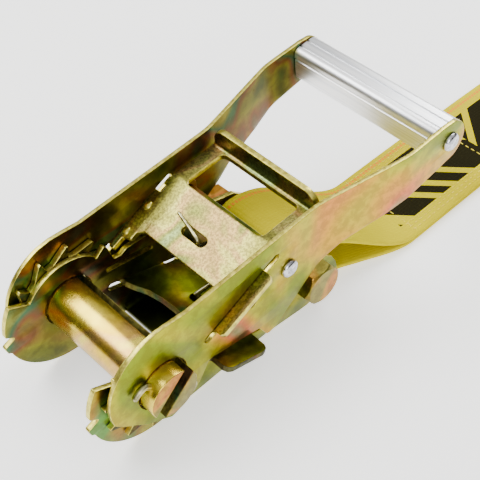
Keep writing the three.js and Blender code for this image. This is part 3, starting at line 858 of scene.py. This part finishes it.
# %% [markdown]
# ## Stitching
#
# Each lap is sewn with rows of lockstitch beside the selvedges and a bar at each end. Hundreds of
# stitches by hand would be tedious and a bump would vanish from the side, so a small Geometry
# Nodes group walks along the seam lines and sets a real stitch at every step. Its spacing,
# stitch length and thread radius are named inputs.

# %% Stitches
STITCH_SPACING = 3.4


def stitch_group():
    tree = bpy.data.node_groups.new("stitches", "GeometryNodeTree")
    face = tree.interface
    face.new_socket("Geometry", in_out="INPUT", socket_type="NodeSocketGeometry")
    for name, default in (("Spacing", 0.0032), ("Stitch Length", 0.0024), ("Thread Radius", 0.00030)):
        face.new_socket(name, in_out="INPUT", socket_type="NodeSocketFloat").default_value = default
    face.new_socket("Geometry", in_out="OUTPUT", socket_type="NodeSocketGeometry")
    given = add(tree, "NodeGroupInput").outputs
    curve = add(tree, "GeometryNodeMeshToCurve", {"Mesh": given["Geometry"]})
    spaced = add(tree, "GeometryNodeResampleCurve", {
        "Curve": curve.outputs["Curve"], "Length": given["Spacing"]
    }, mode="LENGTH")
    points = add(tree, "GeometryNodeCurveToPoints", {"Curve": spaced.outputs["Curve"]}, mode="EVALUATED")
    stitch = add(tree, "GeometryNodeMeshUVSphere", {"Segments": 8, "Rings": 6, "Radius": 1.0})
    size = add(tree, "ShaderNodeCombineXYZ", {
        0: given["Thread Radius"], 1: given["Thread Radius"],
        2: add(tree, "ShaderNodeMath", {0: given["Stitch Length"], 1: 0.5}, operation="MULTIPLY").outputs[0],
    })
    turn = add(tree, "FunctionNodeAlignRotationToVector", {"Vector": points.outputs["Tangent"]}, axis="Z")
    placed = add(tree, "GeometryNodeInstanceOnPoints", {
        "Points": points.outputs["Points"], "Instance": stitch.outputs["Mesh"],
        "Rotation": turn.outputs["Rotation"], "Scale": size.outputs["Vector"],
    })
    real = add(tree, "GeometryNodeRealizeInstances", {"Geometry": placed.outputs["Instances"]})
    dressed = add(tree, "GeometryNodeSetMaterial", {"Geometry": real.outputs["Geometry"], "Material": THREAD})
    add(tree, "NodeGroupOutput", {"Geometry": dressed.outputs["Geometry"]})
    return tree


stitches = stitch_group()
print("stitch group", len(stitches.nodes), "nodes")

# %% [markdown]
# ## Sewing the laps
#
# The group needs lines to walk along, so each lap gets a mesh of bare edges, laid on the strap with
# the same sway and ripple. The result is turned into a plain mesh and the modifier is removed.

# %% Sew the laps
def seam_lines(start, end):
    """The stitch pattern of one sewn lap: rows beside the print and a bar at each end."""
    half = WEB_WIDTH / 2 - 3
    rows = [
        [(start, side * y), (end, side * y)] for side in (-1, 1) for y in (half, half - 2.4, half - 4.8)
    ]
    bars = [[(x, -half), (x, half)] for x in (start, end)]
    return rows + bars


def make_stitches(name, start, end, height, tree):
    """Stitches lie on the lap's upper face, half sunk into the weave."""
    bm = bmesh.new()
    for line in seam_lines(start, end):
        spots = []
        for (ax, ay), (bx, by) in zip(line, line[1:]):
            count = max(2, round(math.dist((ax, ay), (bx, by)) / 2))
            spots += [(ax + (bx - ax) * i / count, ay + (by - ay) * i / count) for i in range(count)]
        spots.append(line[-1])
        verts = []
        for x, across in spots:
            y = across + sway_at(x)
            verts.append(bm.verts.new(lie(x, y, height + ripple(x, y))))
        for a, b in zip(verts, verts[1:]):
            bm.edges.new((a, b))
    mesh = bpy.data.meshes.new(name)
    bm.to_mesh(mesh)
    bm.free()
    obj = bpy.data.objects.new(name, mesh)
    bpy.context.scene.collection.objects.link(obj)
    modifier = obj.modifiers.new("stitches", "NODES")
    modifier.node_group = tree
    sockets = {item.name: item.identifier for item in tree.interface.items_tree if item.in_out == "INPUT"}
    modifier[sockets["Spacing"]] = STITCH_SPACING * MM
    bpy.context.view_layer.update()
    done = bpy.data.meshes.new_from_object(obj.evaluated_get(bpy.context.evaluated_depsgraph_get()))
    obj.modifiers.clear()
    obj.data = done
    obj.data.polygons.foreach_set("use_smooth", [True] * len(obj.data.polygons))
    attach(obj, "frame")
    return obj


lap_top = WEB_CLEARANCE + 2 * WEB_THICK + 0.05
lap_near = make_stitches("lap_stitches_near", BOLT_X + 66, BOLT_X + 130, lap_top, stitches)
lap_far = make_stitches("lap_stitches_far", HOOK_BAR[0] - 80, HOOK_BAR[0] - 22, lap_top, stitches)
print("stitches", len(lap_near.data.polygons), len(lap_far.data.polygons))

# %% [markdown]
# ## Frame
#
# The frame is one folded sheet. Each wall is cut with its cam edge, the notches that hold the
# handle, the drum's bearing, the stop pawl's slot and a narrow relief slot; the floor joins them.
# It could be bent from one blank as the slide is, but its two folds are straight, so two plates, a
# floor and a rounded strip in each corner look the same and keep the walls flat.

# %% Frame channel
def slide_top(x):
    return -4 + x * math.tan(SLIDE_SLOPE)


def pawl_top(x):
    return -1.5 + x * math.tan(PAWL_SLOPE)


def pawl_middle(x):
    return pawl_top(x) - SHEET / 2 / math.cos(PAWL_SLOPE)


def frame_outline():
    disc, centre = 32.5, (0, 0)
    return soften(trace([
        (96, -12), (88, -9.2), (83, -7.3), (60, -1), (46, 3), (33, 4.6), (29, 3), (25.8, 3.8), (23.9, 13.1),
        (22.7, 15.2), (17.4, 11.3), (centre, 21.8, 38, 141), (centre, disc, 143.5, 171), (-27.6, 1.5),
        (-34.2, -0.6), (-33.4, -4.5), (centre, disc, 190, 274), (59.8, -34.6), (81.4, -38.9), (86, -39.5),
        (99, -38.5), (106.7, -33.1), (105.8, -25.5), (103.3, -19.5),
    ], 3), 1.2)


def frame_wall(side):
    holes = [
        round_hole(0, 0, HUB), round_hole(*BOLT, 6.3),
        slot_hole((21, pawl_middle(21)), (56, pawl_middle(56)), SHEET + 0.8),
        slot_hole((21.8, 0.2), (44.5, -5.4), 2.6),
    ]
    wall = blank(frame_outline(), holes, FRAME_OUT - FRAME_IN)
    # Inward faces take the darker plate as painted shade.
    mark_faces(wall, inner=2, inward=side)
    place(wall, upright(side * (FRAME_IN + FRAME_OUT) / 2))
    return wall


def frame_floor():
    floor = blank(soften([
        (24, -33), (59.8, -34.6), (78, -38.2), (78, -35.6), (59.8, -32), (24, -30.5)
    ], 0.8), (), 2 * FRAME_IN + 1.0, 0.2)
    # The floor inside the channel takes the darker plate as painted shade.
    for face in floor.faces:
        face.material_index = 2
    place(floor, upright(0))
    return floor


def fold_fillet(side):
    """The rounded inner corner where the floor turns up into a wall."""
    radius = 3.0
    line = [(24.5, -30.6), (59.8, -32.05), (77.5, -35.5)]
    bm = bmesh.new()
    rings = []
    for x, z in line:
        ring = []
        for k in range(7):
            angle = math.pi / 2 * k / 6
            y = FRAME_IN - radius + radius * math.sin(angle)
            lift = radius - radius * math.cos(angle) - 0.05
            ring.append(bm.verts.new(stand(x, side * (y + 0.05), z + lift)))
        ring.append(bm.verts.new(stand(x, side * (FRAME_IN + 0.4), z - 0.4)))
        rings.append(ring)
    for low, high in zip(rings, rings[1:]):
        skin_rings(bm, low, high)
    bm.faces.new(rings[0])
    bm.faces.new(rings[-1])
    face_out(bm)
    # The corner strips take the darker plate as painted shade.
    for face in bm.faces:
        face.material_index = 2
    return bm


walls = merge(frame_wall(-1), frame_wall(1), frame_floor(), fold_fillet(-1), fold_fillet(1))
channel = piece(
    "frame_channel", walls, [OLIVE, EDGE_HIGHLIGHT, ZINC_PAINTED_SHADE], "frame", ["frame_channel"]
)
print("frame channel", len(channel.data.polygons), "faces")

# %% [markdown]
# ## Anchor bolt, nut and sleeve
#
# A 12 mm bolt runs through the frame's ears, with a tube on it that the strap turns round. The
# chamfer of a hexagon head is a cone, which leaves a curved line on each flat. A boolean with a
# cone would cut it; here every ring of the hexagon is held inside a shrinking circle instead,
# which gives the same curve with clean faces. The thread is drawn as ridges, not as a helix.

# %% Anchor bolt, nut and sleeve
def hex_ring(across_flats, y, axis, limit=None, segments=72):
    """A hexagon's outline at y, cut back to a circle of radius limit if one is given."""
    ring = []
    for i in range(segments):
        angle = 2 * math.pi * i / segments
        off = (angle + math.pi / 6) % (math.pi / 3) - math.pi / 6
        radius = across_flats / 2 / math.cos(off)
        radius = radius if limit is None else min(radius, limit)
        ring.append((axis[0] + radius * math.sin(angle), y, axis[1] + radius * math.cos(angle)))
    return ring


def hexagon(across_flats, low, high, axis, bore=0.0):
    """A hexagon with a conical chamfer at the end that is further from the middle."""
    outward = 1 if high > 0 else -1
    near, far = (low, high) if outward > 0 else (high, low)
    corner = across_flats / math.sqrt(3)
    flat = across_flats / 2
    levels = [
        hex_ring(across_flats, near, axis, corner - 0.4), hex_ring(across_flats, near + 0.3 * outward, axis)
    ]
    for k in range(5):
        limit = corner - (corner - flat + 0.5) * k / 4
        levels.append(hex_ring(across_flats, far - outward * 1.5 * (1 - k / 4), axis, limit))
    bm = bmesh.new()
    rings = [[bm.verts.new(stand(*point)) for point in level] for level in levels]
    for a, b in zip(rings, rings[1:]):
        skin_rings(bm, a, b)
    for ring, y in ((rings[0], near), (rings[-1], far)):
        centre = [bm.verts.new(stand(axis[0], y, axis[1]))]
        if bore:
            centre = [
                bm.verts.new(stand(axis[0] + bore * math.sin(t), y, axis[1] + bore * math.cos(t)))
                for t in (2 * math.pi * i / len(ring) for i in range(len(ring)))
            ]
        skin_rings(bm, ring, centre)
        rings.append(centre)
    if bore:
        skin_rings(bm, rings[-2], rings[-1])
    face_out(bm)
    return bm


def threaded_end(start, end, radius, pitch=1.75):
    """The bolt's protruding end, with ridges for its thread."""
    profile = [(0, start - 4), (radius, start - 4), (radius, start)]
    y = start
    while y < end - 1.5:
        profile += [(radius - 0.75, y + pitch * 0.45), (radius - 0.1, y + pitch * 0.9)]
        y += pitch
    return profile + [(radius - 1.2, end), (0, end)]


def anchor_bolt():
    head = hexagon(BOLT_FLATS, -FRAME_OUT - 7.5, -FRAME_OUT - 0.3, BOLT)
    start = -FRAME_OUT - 1
    shank = turned([(0, start), (BOLT_RADIUS, start), (BOLT_RADIUS, FRAME_OUT), (0, FRAME_OUT)], BOLT)
    end = turned(threaded_end(FRAME_OUT + 7, FRAME_OUT + 11.5, BOLT_RADIUS), BOLT)
    return merge(head, shank, end)


piece("anchor_bolt", anchor_bolt(), [BOLT_ZINC], "frame", ["anchor_bolt"])
nut = hexagon(BOLT_FLATS, FRAME_OUT + 0.3, FRAME_OUT + 9.8, BOLT, BOLT_RADIUS + 0.2)
piece("anchor_nut", nut, [BOLT_ZINC], "frame", ["anchor_nut"])
sleeve_end = FRAME_IN - 0.3
piece("anchor_sleeve", turned([
    (6.3, -sleeve_end), (8.7, -sleeve_end), (9, -sleeve_end + 0.3), (9, sleeve_end - 0.3), (8.7, sleeve_end),
    (6.3, sleeve_end),
], BOLT), [STEEL], "frame", ["anchor_sleeve"])
print("sleeve", round(2 * sleeve_end, 1), "mm long")

# %% [markdown]
# ## Stop pawl
#
# A flat plate slides in the walls' slots and its two teeth hold the wheels. Its outline is drawn
# for one half and mirrored. The plate lies on a slope, so lengths along it are a little longer
# than the ones on the drawing, and `where` turns it to that slope as it puts it in place.

# %% Stop pawl
def stop_pawl():
    """A flat plate on a slope: two teeth, two ears with rounded corners, a hollowed front edge."""
    tooth_in, tooth_out = WHEEL_IN + 0.2, WHEEL_OUT - 0.2
    half = [
        (34, 0), (33.6, 8), (32, 15), (29, 21), (27.5, 25), (27.5, tooth_in), (21.6, tooth_in),
        (21.6, tooth_out), (27, tooth_out), (27, 39), (27.9, 41.1), (30, 42), (47, 42), (49.1, 41.1),
        (50, 39), (50, 26.2), (57, 26.2),
    ]
    secant = 1 / math.cos(PAWL_SLOPE)
    outline = mirrored([(a * secant, b) for a, b in half])[1:]
    plate = blank(soften(outline, 1.0), [round_hole(46 * secant, 0, 3)], SHEET)
    mark_faces(plate)
    drop = SHEET / 2

    def where(p):
        x = p.x * math.cos(PAWL_SLOPE) + (p.z - drop) * -math.sin(PAWL_SLOPE)
        z = -1.5 + p.x * math.sin(PAWL_SLOPE) + (p.z - drop) * math.cos(PAWL_SLOPE)
        return stand(x, p.y, z)

    place(plate, where)
    return plate


# The pawl's cut edges take the darker plate as painted shade.
pawl = piece("stop_pawl", stop_pawl(), [OLIVE, SHADED_ZINC], "stop_pawl", ["stop_pawl"])
print("stop pawl", len(pawl.data.polygons), "faces")

# %% [markdown]
# ## Springs
#
# Two wire springs push the pawls home. Each has a few coils between a straight leg and a bent one.
# A Screw modifier would make only the coils, so one list of points runs through leg, coil and leg,
# and a tube follows it.

# %% Springs
def coil_points(x, y, z, radius=SPRING_COIL, pitch=2.0, turns=3, per_turn=16):
    spots = []
    for i in range(turns * per_turn + 1):
        angle = math.pi / 2 + 2 * math.pi * i / per_turn
        spots.append((x + radius * math.cos(angle), y + pitch * i / per_turn, z + radius * math.sin(angle)))
    return spots


def spring_leg(x):
    """The return spring's straight leg lies along the slide's travel and runs through the brace."""
    return RETURN_COIL[2] + SPRING_COIL + (x - RETURN_COIL[0]) * math.tan(SLIDE_SLOPE)


def spring(name, points, body):
    path = smooth_path([stand(*p) for p in points], 5)
    return piece(name, tube(path, SPRING_WIRE * MM, 12), [STEEL], body, [name], 60)


stop_legs = [(x, 3 - i, pawl_top(x) + 1.5) for i, x in enumerate((58, 52, 46.5))]
spring("stop_spring", [
    (78, -6, -32), (71, -5, -25.5), *coil_points(66, -4, -27), *stop_legs
], "frame")
hooked_end = [
    (52.2, 0.8, 8.8), (51, -0.8, 11.2), (51, -1.5, slide_top(51) - 1), (51.2, -1.1, slide_top(51.2) + 0.9),
    (52, 2.2, slide_top(52) + 1.6), (53.6, 8, slide_top(53.6) + 1.2), (55.2, 14.4, slide_top(55.2) + 1.1),
]
spring("return_spring", [
    *[(x, RETURN_COIL[1], spring_leg(x)) for x in (71, 66, 61)], *coil_points(*RETURN_COIL), *hooked_end
], "release_slide")
print("springs made")

# %% [markdown]
# ## Drum
#
# Two half-round bars with a slot between them carry a toothed wheel at each side. The loose strap
# is threaded through the slot and wound on. The teeth repeat every thirty degrees, which an Array
# modifier could do, but a loop that writes one outline gives a plate with rolled edges like the
# others. A cotter pin through both bars at each end keeps the handle's plates on them.

# %% Drum
BAR_RADIUS, BAR_LENGTH, SLOT_HALF = 11.7, 83, 3


def wheel_outline():
    """Twelve teeth: a steep face, a narrow tip and a long back."""
    step = math.radians(30)
    corners = []
    for i in range(12):
        tip = math.radians(11.75) + i * step
        for radius, angle in ((21.3, tip - 0.02), (27.3, tip), (27.0, tip + 0.05), (21.3, tip + step * 0.66)):
            corners.append((radius * math.cos(angle), radius * math.sin(angle)))
    return soften(corners, 0.5, 3)


def half_moon(radius, flat, side):
    """The section of one bar: a disc cut off at flat from the slot's middle plane."""
    start = math.degrees(math.asin(flat / radius))
    turn = math.degrees(SLOT_ANGLE) + (0 if side > 0 else 180)
    return trace([((0, 0), radius, turn + start, turn + 180 - start)], 4)


def ratchet_wheel(side):
    bores = [half_moon(BAR_RADIUS + 0.3, SLOT_HALF - 0.3, half) for half in (1, -1)]
    wheel = blank(wheel_outline(), bores, WHEEL_OUT - WHEEL_IN, 0.25)
    mark_faces(wheel)
    place(wheel, upright(side * (WHEEL_IN + WHEEL_OUT) / 2))
    return wheel


def drum_bar(side):
    bar = blank(soften(half_moon(BAR_RADIUS, SLOT_HALF, side), 0.7), (), BAR_LENGTH, 0.5)
    across = Vector((-math.sin(SLOT_ANGLE), math.cos(SLOT_ANGLE), 0))
    # Faces lining the slot take material 2, the darker plate, as painted shade inside the slot.
    for face in bar.faces:
        in_slot = abs(face.calc_center_median().dot(across)) < SLOT_HALF + 0.2
        face.material_index = 2 if in_slot else int(abs(face.normal.z) > 0.85)
    place(bar, upright(0))
    return bar


def cotter_pin(y):
    """A pin with a bent tail at the top and an eye at the bottom."""
    across = Vector((-math.sin(SLOT_ANGLE), math.cos(SLOT_ANGLE)))
    along = Vector((math.cos(SLOT_ANGLE), math.sin(SLOT_ANGLE)))

    def spots(pairs):
        return [stand(p.x, y, p.y) for p in (across * a + along * b for a, b in pairs)]

    bent = [(-14, 0), (-5, 0), (5, 0), (12.6, 0), (14.6, -0.6), (15.7, -2.4), (16, -5.4)]
    leg = smooth_path(spots(bent), 6)
    eye = spots(trace([((-16.4, 0), 2.6, 20, 340)], 15))
    return merge(tube(leg, 1.45 * MM, 18), tube(eye, 1.05 * MM, 14))


for side, word in ((-1, "near"), (1, "far")):
    wheel_name, pin_name = f"ratchet_wheel_{word}", f"cotter_pin_{word}"
    # The wheels' faces take the darker plate as painted shade between the plates; their edges take the
    # lighter painted highlight.
    piece(wheel_name, ratchet_wheel(side), [SHADED_ZINC, EDGE_HIGHLIGHT], "drum", [wheel_name])
    piece(pin_name, cotter_pin(side * COTTER_AT), [STEEL], "drum", [pin_name], 60)
for side, word in ((1, "upper"), (-1, "lower")):
    name = f"drum_bar_{word}"
    piece(name, drum_bar(side), [DRUM_ZINC, BOLT_ZINC, SHADED_ZINC], "drum", [name])
print("drum made")

# %% [markdown]
# ## Handle
#
# Two side plates run from the drum and flare outwards to the grip. A lattice could bend them, but
# the flare is a plain rule, how far the plate stands out at each x, so the flat plate is cut
# across where it bends and its points are moved by that rule.

# %% Handle plates
def flare(x, soft=2.6):
    """How far the plates stand out at x: level, a straight flare with eased kinks, level again."""
    def eased_step(u):
        return 0.5 * (u + math.sqrt(u * u + soft * soft))

    return FLARE * (eased_step(x - FLARE_START) - eased_step(x - FLARE_END)) / (FLARE_END - FLARE_START)


def handle_outline():
    return soften(trace([
        (3, 32.2), ((2.2, 4.3), 28, 101, 185), (-25.2, -1.5), (-21.5, -6.8), (-16.4, -11.9), (-11.3, -17.8),
        (-5, -22), (0.2, -26.2), (8, -24.6), (17, -18.6), (23.9, -9.4), (38, -13.1), (52.1, -17.1),
        (56.2, -26), (61, -25.4), (70, -19.2), (78.3, -13.6), (88, -7.2), (102, -1.6), (124, 0.9),
        (140, 4.3), (156.7, 6.1),
        ((162, 17.8), 11.6, -64, 70), (160, 29.5), (18, 29.9), (10.5, 31.2),
    ], 4), 2.4)


def slide_middle(x):
    return slide_top(x) - SHEET / 2 / math.cos(SLIDE_SLOPE)


def handle_plate(side):
    holes = [
        round_hole(0, 0, HUB + 0.2), round_hole(50, 3.3, 2.6), round_hole(*BRACE, BRACE_BORE),
        round_hole(*GRIP, GRIP_BORE),
        slot_hole((25.2, slide_middle(25.2)), (65.2, slide_middle(65.2)), SHEET + 1),
    ]
    plate = blank(handle_outline(), holes, HANDLE_OUT - HANDLE_IN)
    bisect(plate, np.arange(FLARE_START - 12, FLARE_END + 12, 1.5))
    # Inward faces take the darker plate as painted shade.
    mark_faces(plate, inner=2, inward=side)
    place(plate, upright(side * (HANDLE_IN + HANDLE_OUT) / 2, lambda x: side * flare(x)))
    return plate


for side, word in ((-1, "near"), (1, "far")):
    name = f"handle_plate_{word}"
    piece(name, handle_plate(side), [ZINC, EDGE_HIGHLIGHT, ZINC_PAINTED_SHADE], "handle", [name])
print("handle flares from", HANDLE_OUT, "to", round(HANDLE_OUT + flare(GRIP[0]), 1), "mm from the middle")

# %% [markdown]
# ## Grip and its rod
#
# The grip is an extruded bar with fine grooves, held between the plates by a rod whose ends are
# headed over like rivets. An extrusion is the same section all the way, so its outline is drawn
# once with the grooves in it. The rod is turned from a profile.

# %% Grip and its rod
def grip():
    half = HANDLE_IN + FLARE - 0.3
    groove = [(-0.5, 28), (-0.3, 27.3), (0.3, 27.3), (0.5, 28)]
    outline = trace([
        (155, 20), ((159, 13), 4, 180, 270), ((165.5, 14), 5, -90, 0), ((166.5, 24), 4, 0, 90),
        *[(164.2 - a, b) for a, b in groove], *[(159.2 - a, b) for a, b in groove], ((158, 25), 3, 90, 180),
        (155, 23.3), (155.6, 23.0), (155.6, 22.4), (155, 22.1),
    ], 7)
    bar = blank(outline, [round_hole(*GRIP, GRIP_BORE)], 2 * half, 0.2)
    place(bar, upright(0))
    return bar


def rod_end(face):
    """The rod's domed head, as (radius, y) from its middle out."""
    return [
        (0, face + 2.2), (2.2, face + 2.15), (3.4, face + 1.9), (4.3, face + 1.2), (4.6, face + 0.5),
        (4.6, face), (3.5, face),
    ]


piece("grip", grip(), [ALUMINIUM], "handle", ["grip"], 28)
head = rod_end(HANDLE_OUT + FLARE + 0.3)
rod_profile = [(r, -y) for r, y in head] + list(reversed(head))
piece("grip_rod", turned(rod_profile, GRIP), [BRIGHT], "handle", ["grip_rod"], 40)
print("rod", round(2 * head[0][1], 1), "mm over its heads")

# %% [markdown]
# ## Brace and its rivets
#
# A folded strip ties the plates together behind the slide and gives its spring something to push
# on. It could be bent from one blank, but its folds are hidden against the plates, so a web, a lip
# and two tabs are made flat and set together. A turned rivet holds each tab.

# %% Brace and its rivets
def brace():
    """A folded strip: a web behind the slide, a lip over it and a tab against each plate."""
    outer, inner = HANDLE_IN - 0.3, HANDLE_IN - 2.3
    end = outer - 0.3
    web = blank(
        soften([(-end, 0.8), (end, 0.8), (end, 16.6), (-end, 16.6)], 1.5),
        [round_hole(RETURN_COIL[1], spring_leg(67), 1.7)], 2,
    )
    place(web, lambda p: stand(67 + p.z, p.x, p.y))
    lip = blank(soften([(66, -26), (71, -24), (71, 24), (66, 26)], 1.5), (), 1.6)
    place(lip, lambda p: stand(p.x, p.y, 16.3 + p.z))
    tabs = []
    for side in (-1, 1):
        outline = soften([(66.4, 0.8), (75, 0.8), (78, 3), (78, 9), (75.4, 12.4), (66.4, 12.4)], 2.5)
        tab = blank(outline, [round_hole(*BRACE, BRACE_BORE)], 2)
        place(tab, upright(side * (outer + inner) / 2))
        tabs.append(tab)
    return merge(web, lip, *tabs)


def brace_rivet(side):
    inside, outside = HANDLE_IN - 2.6, HANDLE_OUT + 0.3
    profile = [
        (0, inside - 1.6), (2.2, inside - 1.5), (3.2, inside - 0.9), (3.2, inside), (2.5, inside),
        (2.5, outside), (4.3, outside), (4.3, outside + 0.7), (3.8, outside + 1.4),
        (2.6, outside + 1.95), (0, outside + 2.1),
    ]
    return turned([(r, side * y) for r, y in profile], BRACE, 40)


# The brace takes the darker plate all over, as painted shade between the plates.
piece("handle_brace", brace(), [ZINC_PAINTED_SHADE], "handle", ["handle_brace"])
for side, word in ((-1, "near"), (1, "far")):
    name = f"brace_rivet_{word}"
    piece(name, brace_rivet(side), [BRIGHT], "handle", [name], 40)
print("brace", round(2 * (HANDLE_IN - 0.3), 1), "mm wide")

# %% [markdown]
# ## Release slide
#
# One bent sheet does two jobs: its front edge drives the wheels and its rear edge is the finger
# pull. The real one is stamped flat and folded, and so is this: the flat outline is cut across
# where it bends and wrapped round `bend_line`, the line of its bends. A Simple Deform modifier
# bends a whole mesh at once, so it could not leave the straight parts flat.

# %% Release slide
def bend_line(start, heading, moves, step=0.4):
    """Walks straight and round bends; gives arrays of length, x, z and heading."""
    s, x, z = 0.0, start[0], start[1]
    rows = [(s, x, z, heading)]
    for kind, size, turn in moves:
        length = size if kind == "line" else size * abs(math.radians(turn))
        count = max(1, round(length / step))
        for _ in range(count):
            heading += math.radians(turn) / count / 2
            x += length / count * math.cos(heading)
            z += length / count * math.sin(heading)
            s += length / count
            heading += math.radians(turn) / count / 2
            rows.append((s, x, z, heading))
    return np.array(rows).T


def release_slide():
    lug, body, ear, leg = WHEEL_IN + 0.2, HANDLE_IN - 0.3, HANDLE_OUT + 5, 31
    slope = 1 / math.cos(SLIDE_SLOPE)
    tip = 27.7
    on_slope = [
        (41.2, 0), (41.2, 23), (39.2, 25.4), (35.4, 25.4), (34.2, lug), (tip, lug), (tip, body),
        (28.5, body + 0.6), (28.5, ear - 1.4), (29.9, ear), (56.6, ear), (58, ear - 1.4), (58, lug),
        (61.5, lug), (61.5, body), (64.5, body), (66, leg),
    ]
    end = 77.6
    corner = trace([((end - 7, leg - 7), 7, 90, 0)], 10)
    half = [((x - tip) * slope, y) for x, y in on_slope] + corner
    hole_at = (52.1 - tip) * slope
    window = soften([(42, -23.5), (64.6, -23.5), (64.6, 23.5), (42, 23.5)], 3.2, 6)
    plate = blank(soften(mirrored(half)[1:], 1.2), [
        slot_hole((hole_at, -2.9), (hole_at, 6.5), 4.9), window
    ], SHEET, 0.45)
    start = (
        tip + SHEET / 2 * math.sin(SLIDE_SLOPE), slide_top(tip) - SHEET / 2 * math.cos(SLIDE_SLOPE)
    )
    moves = [("line", 40.95, 0), ("arc", 6, -20.75), ("line", 21.9, 0), ("arc", 3, 90), ("line", 7.9, 0)]
    line = bend_line(start, SLIDE_SLOPE, moves)
    bisect(plate, np.concatenate([np.arange(40.5, 43.6, 0.35), np.arange(64.8, 70.0, 0.4)]))
    mark_faces(plate)

    def where(p):
        x, z, heading = (np.interp(p.x, line[0], row) for row in line[1:])
        return stand(x - p.z * math.sin(heading), p.y, z + p.z * math.cos(heading))

    place(plate, where)
    return merge(plate, *[dimple(x, y) for x in DIMPLES for y in (-30, 30)])


def dimple(x, y):
    """A bump pressed up from below."""
    bump_up = bmesh.new()
    bmesh.ops.create_uvsphere(bump_up, u_segments=28, v_segments=14, radius=2.4)
    slope = Matrix.Rotation(-SLIDE_SLOPE, 3, "Y") @ Matrix.Diagonal((1, 0.8, 0.5))
    # The bump takes material 1, the slide's lighter edge colour, as a painted highlight.
    for face in bump_up.faces:
        face.material_index = 1
    place(bump_up, lambda p: stand(*(slope @ p + Vector((x, y, slide_top(x))))))
    return bump_up


slide = piece(
    "release_slide", release_slide(), [PALE, EDGE_HIGHLIGHT], "release_slide", ["release_slide"]
)
print("release slide", len(slide.data.polygons), "faces")

# %% [markdown]
# ## Studio
#
# Polished plate shows what is round it more than it shows light, so the studio matters as much as
# the finishes. A pale floor, a big soft key above the far side, a fill from the near side and a
# small rim light are enough, with a bright world whose darker band low down gives the metal its
# dark reflections. An HDR image would do the same with less control.

# %% Floor, lights and world
LIGHT_AIM = (0, 0, 0.03)


def add_floor():
    bm = bmesh.new()
    bmesh.ops.create_grid(bm, x_segments=1, y_segments=1, size=3.0)
    mesh = bpy.data.meshes.new("floor")
    bm.to_mesh(mesh)
    bm.free()
    material, tree, shader = new_material("studio_floor")
    finish_shader(
        tree, shader, Base_Color=linear("#F6F6F4"), Roughness=0.9, Emission_Color=linear("#FFFFFF"),
        Emission_Strength=0.9,
    )
    mesh.materials.append(material)
    floor = bpy.data.objects.new("floor", mesh)
    bpy.context.scene.collection.objects.link(floor)


def add_light(name, place_at, size, power):
    """A white area light, aimed at the buckle."""
    data = bpy.data.lights.new(name, "AREA")
    data.shape = "RECTANGLE"
    data.size, data.size_y = size
    data.energy = power
    light = bpy.data.objects.new(name, data)
    light.location = place_at
    light.rotation_euler = (Vector(LIGHT_AIM) - Vector(place_at)).to_track_quat("-Z", "Y").to_euler()
    bpy.context.scene.collection.objects.link(light)


def add_world():
    world = bpy.data.worlds.new("studio")
    bpy.context.scene.world = world
    world.use_nodes = True
    tree = world.node_tree
    height = add(tree, "ShaderNodeSeparateXYZ", {
        "Vector": add(tree, "ShaderNodeTexCoord").outputs["Generated"]
    }).outputs["Z"]
    tone = add(tree, "ShaderNodeValToRGB", {"Fac": height}, [
        (0.0, "#6A6A64"), (0.10, "#33312C"), (0.42, "#8C8C88"), (0.72, "#FFFFFF")
    ])
    feed(tree, tree.nodes["Background"].inputs["Color"], tone)


add_floor()
add_world()
add_light("key", (-0.25, 0.45, 0.75), (0.7, 0.5), 9.0)
add_light("fill", (-0.55, -0.75, 0.50), (0.6, 0.5), 6.0)
add_light("rim", (0.55, 0.10, 0.55), (0.25, 0.5), 4.0)
print("lights", [light.name for light in bpy.data.lights])
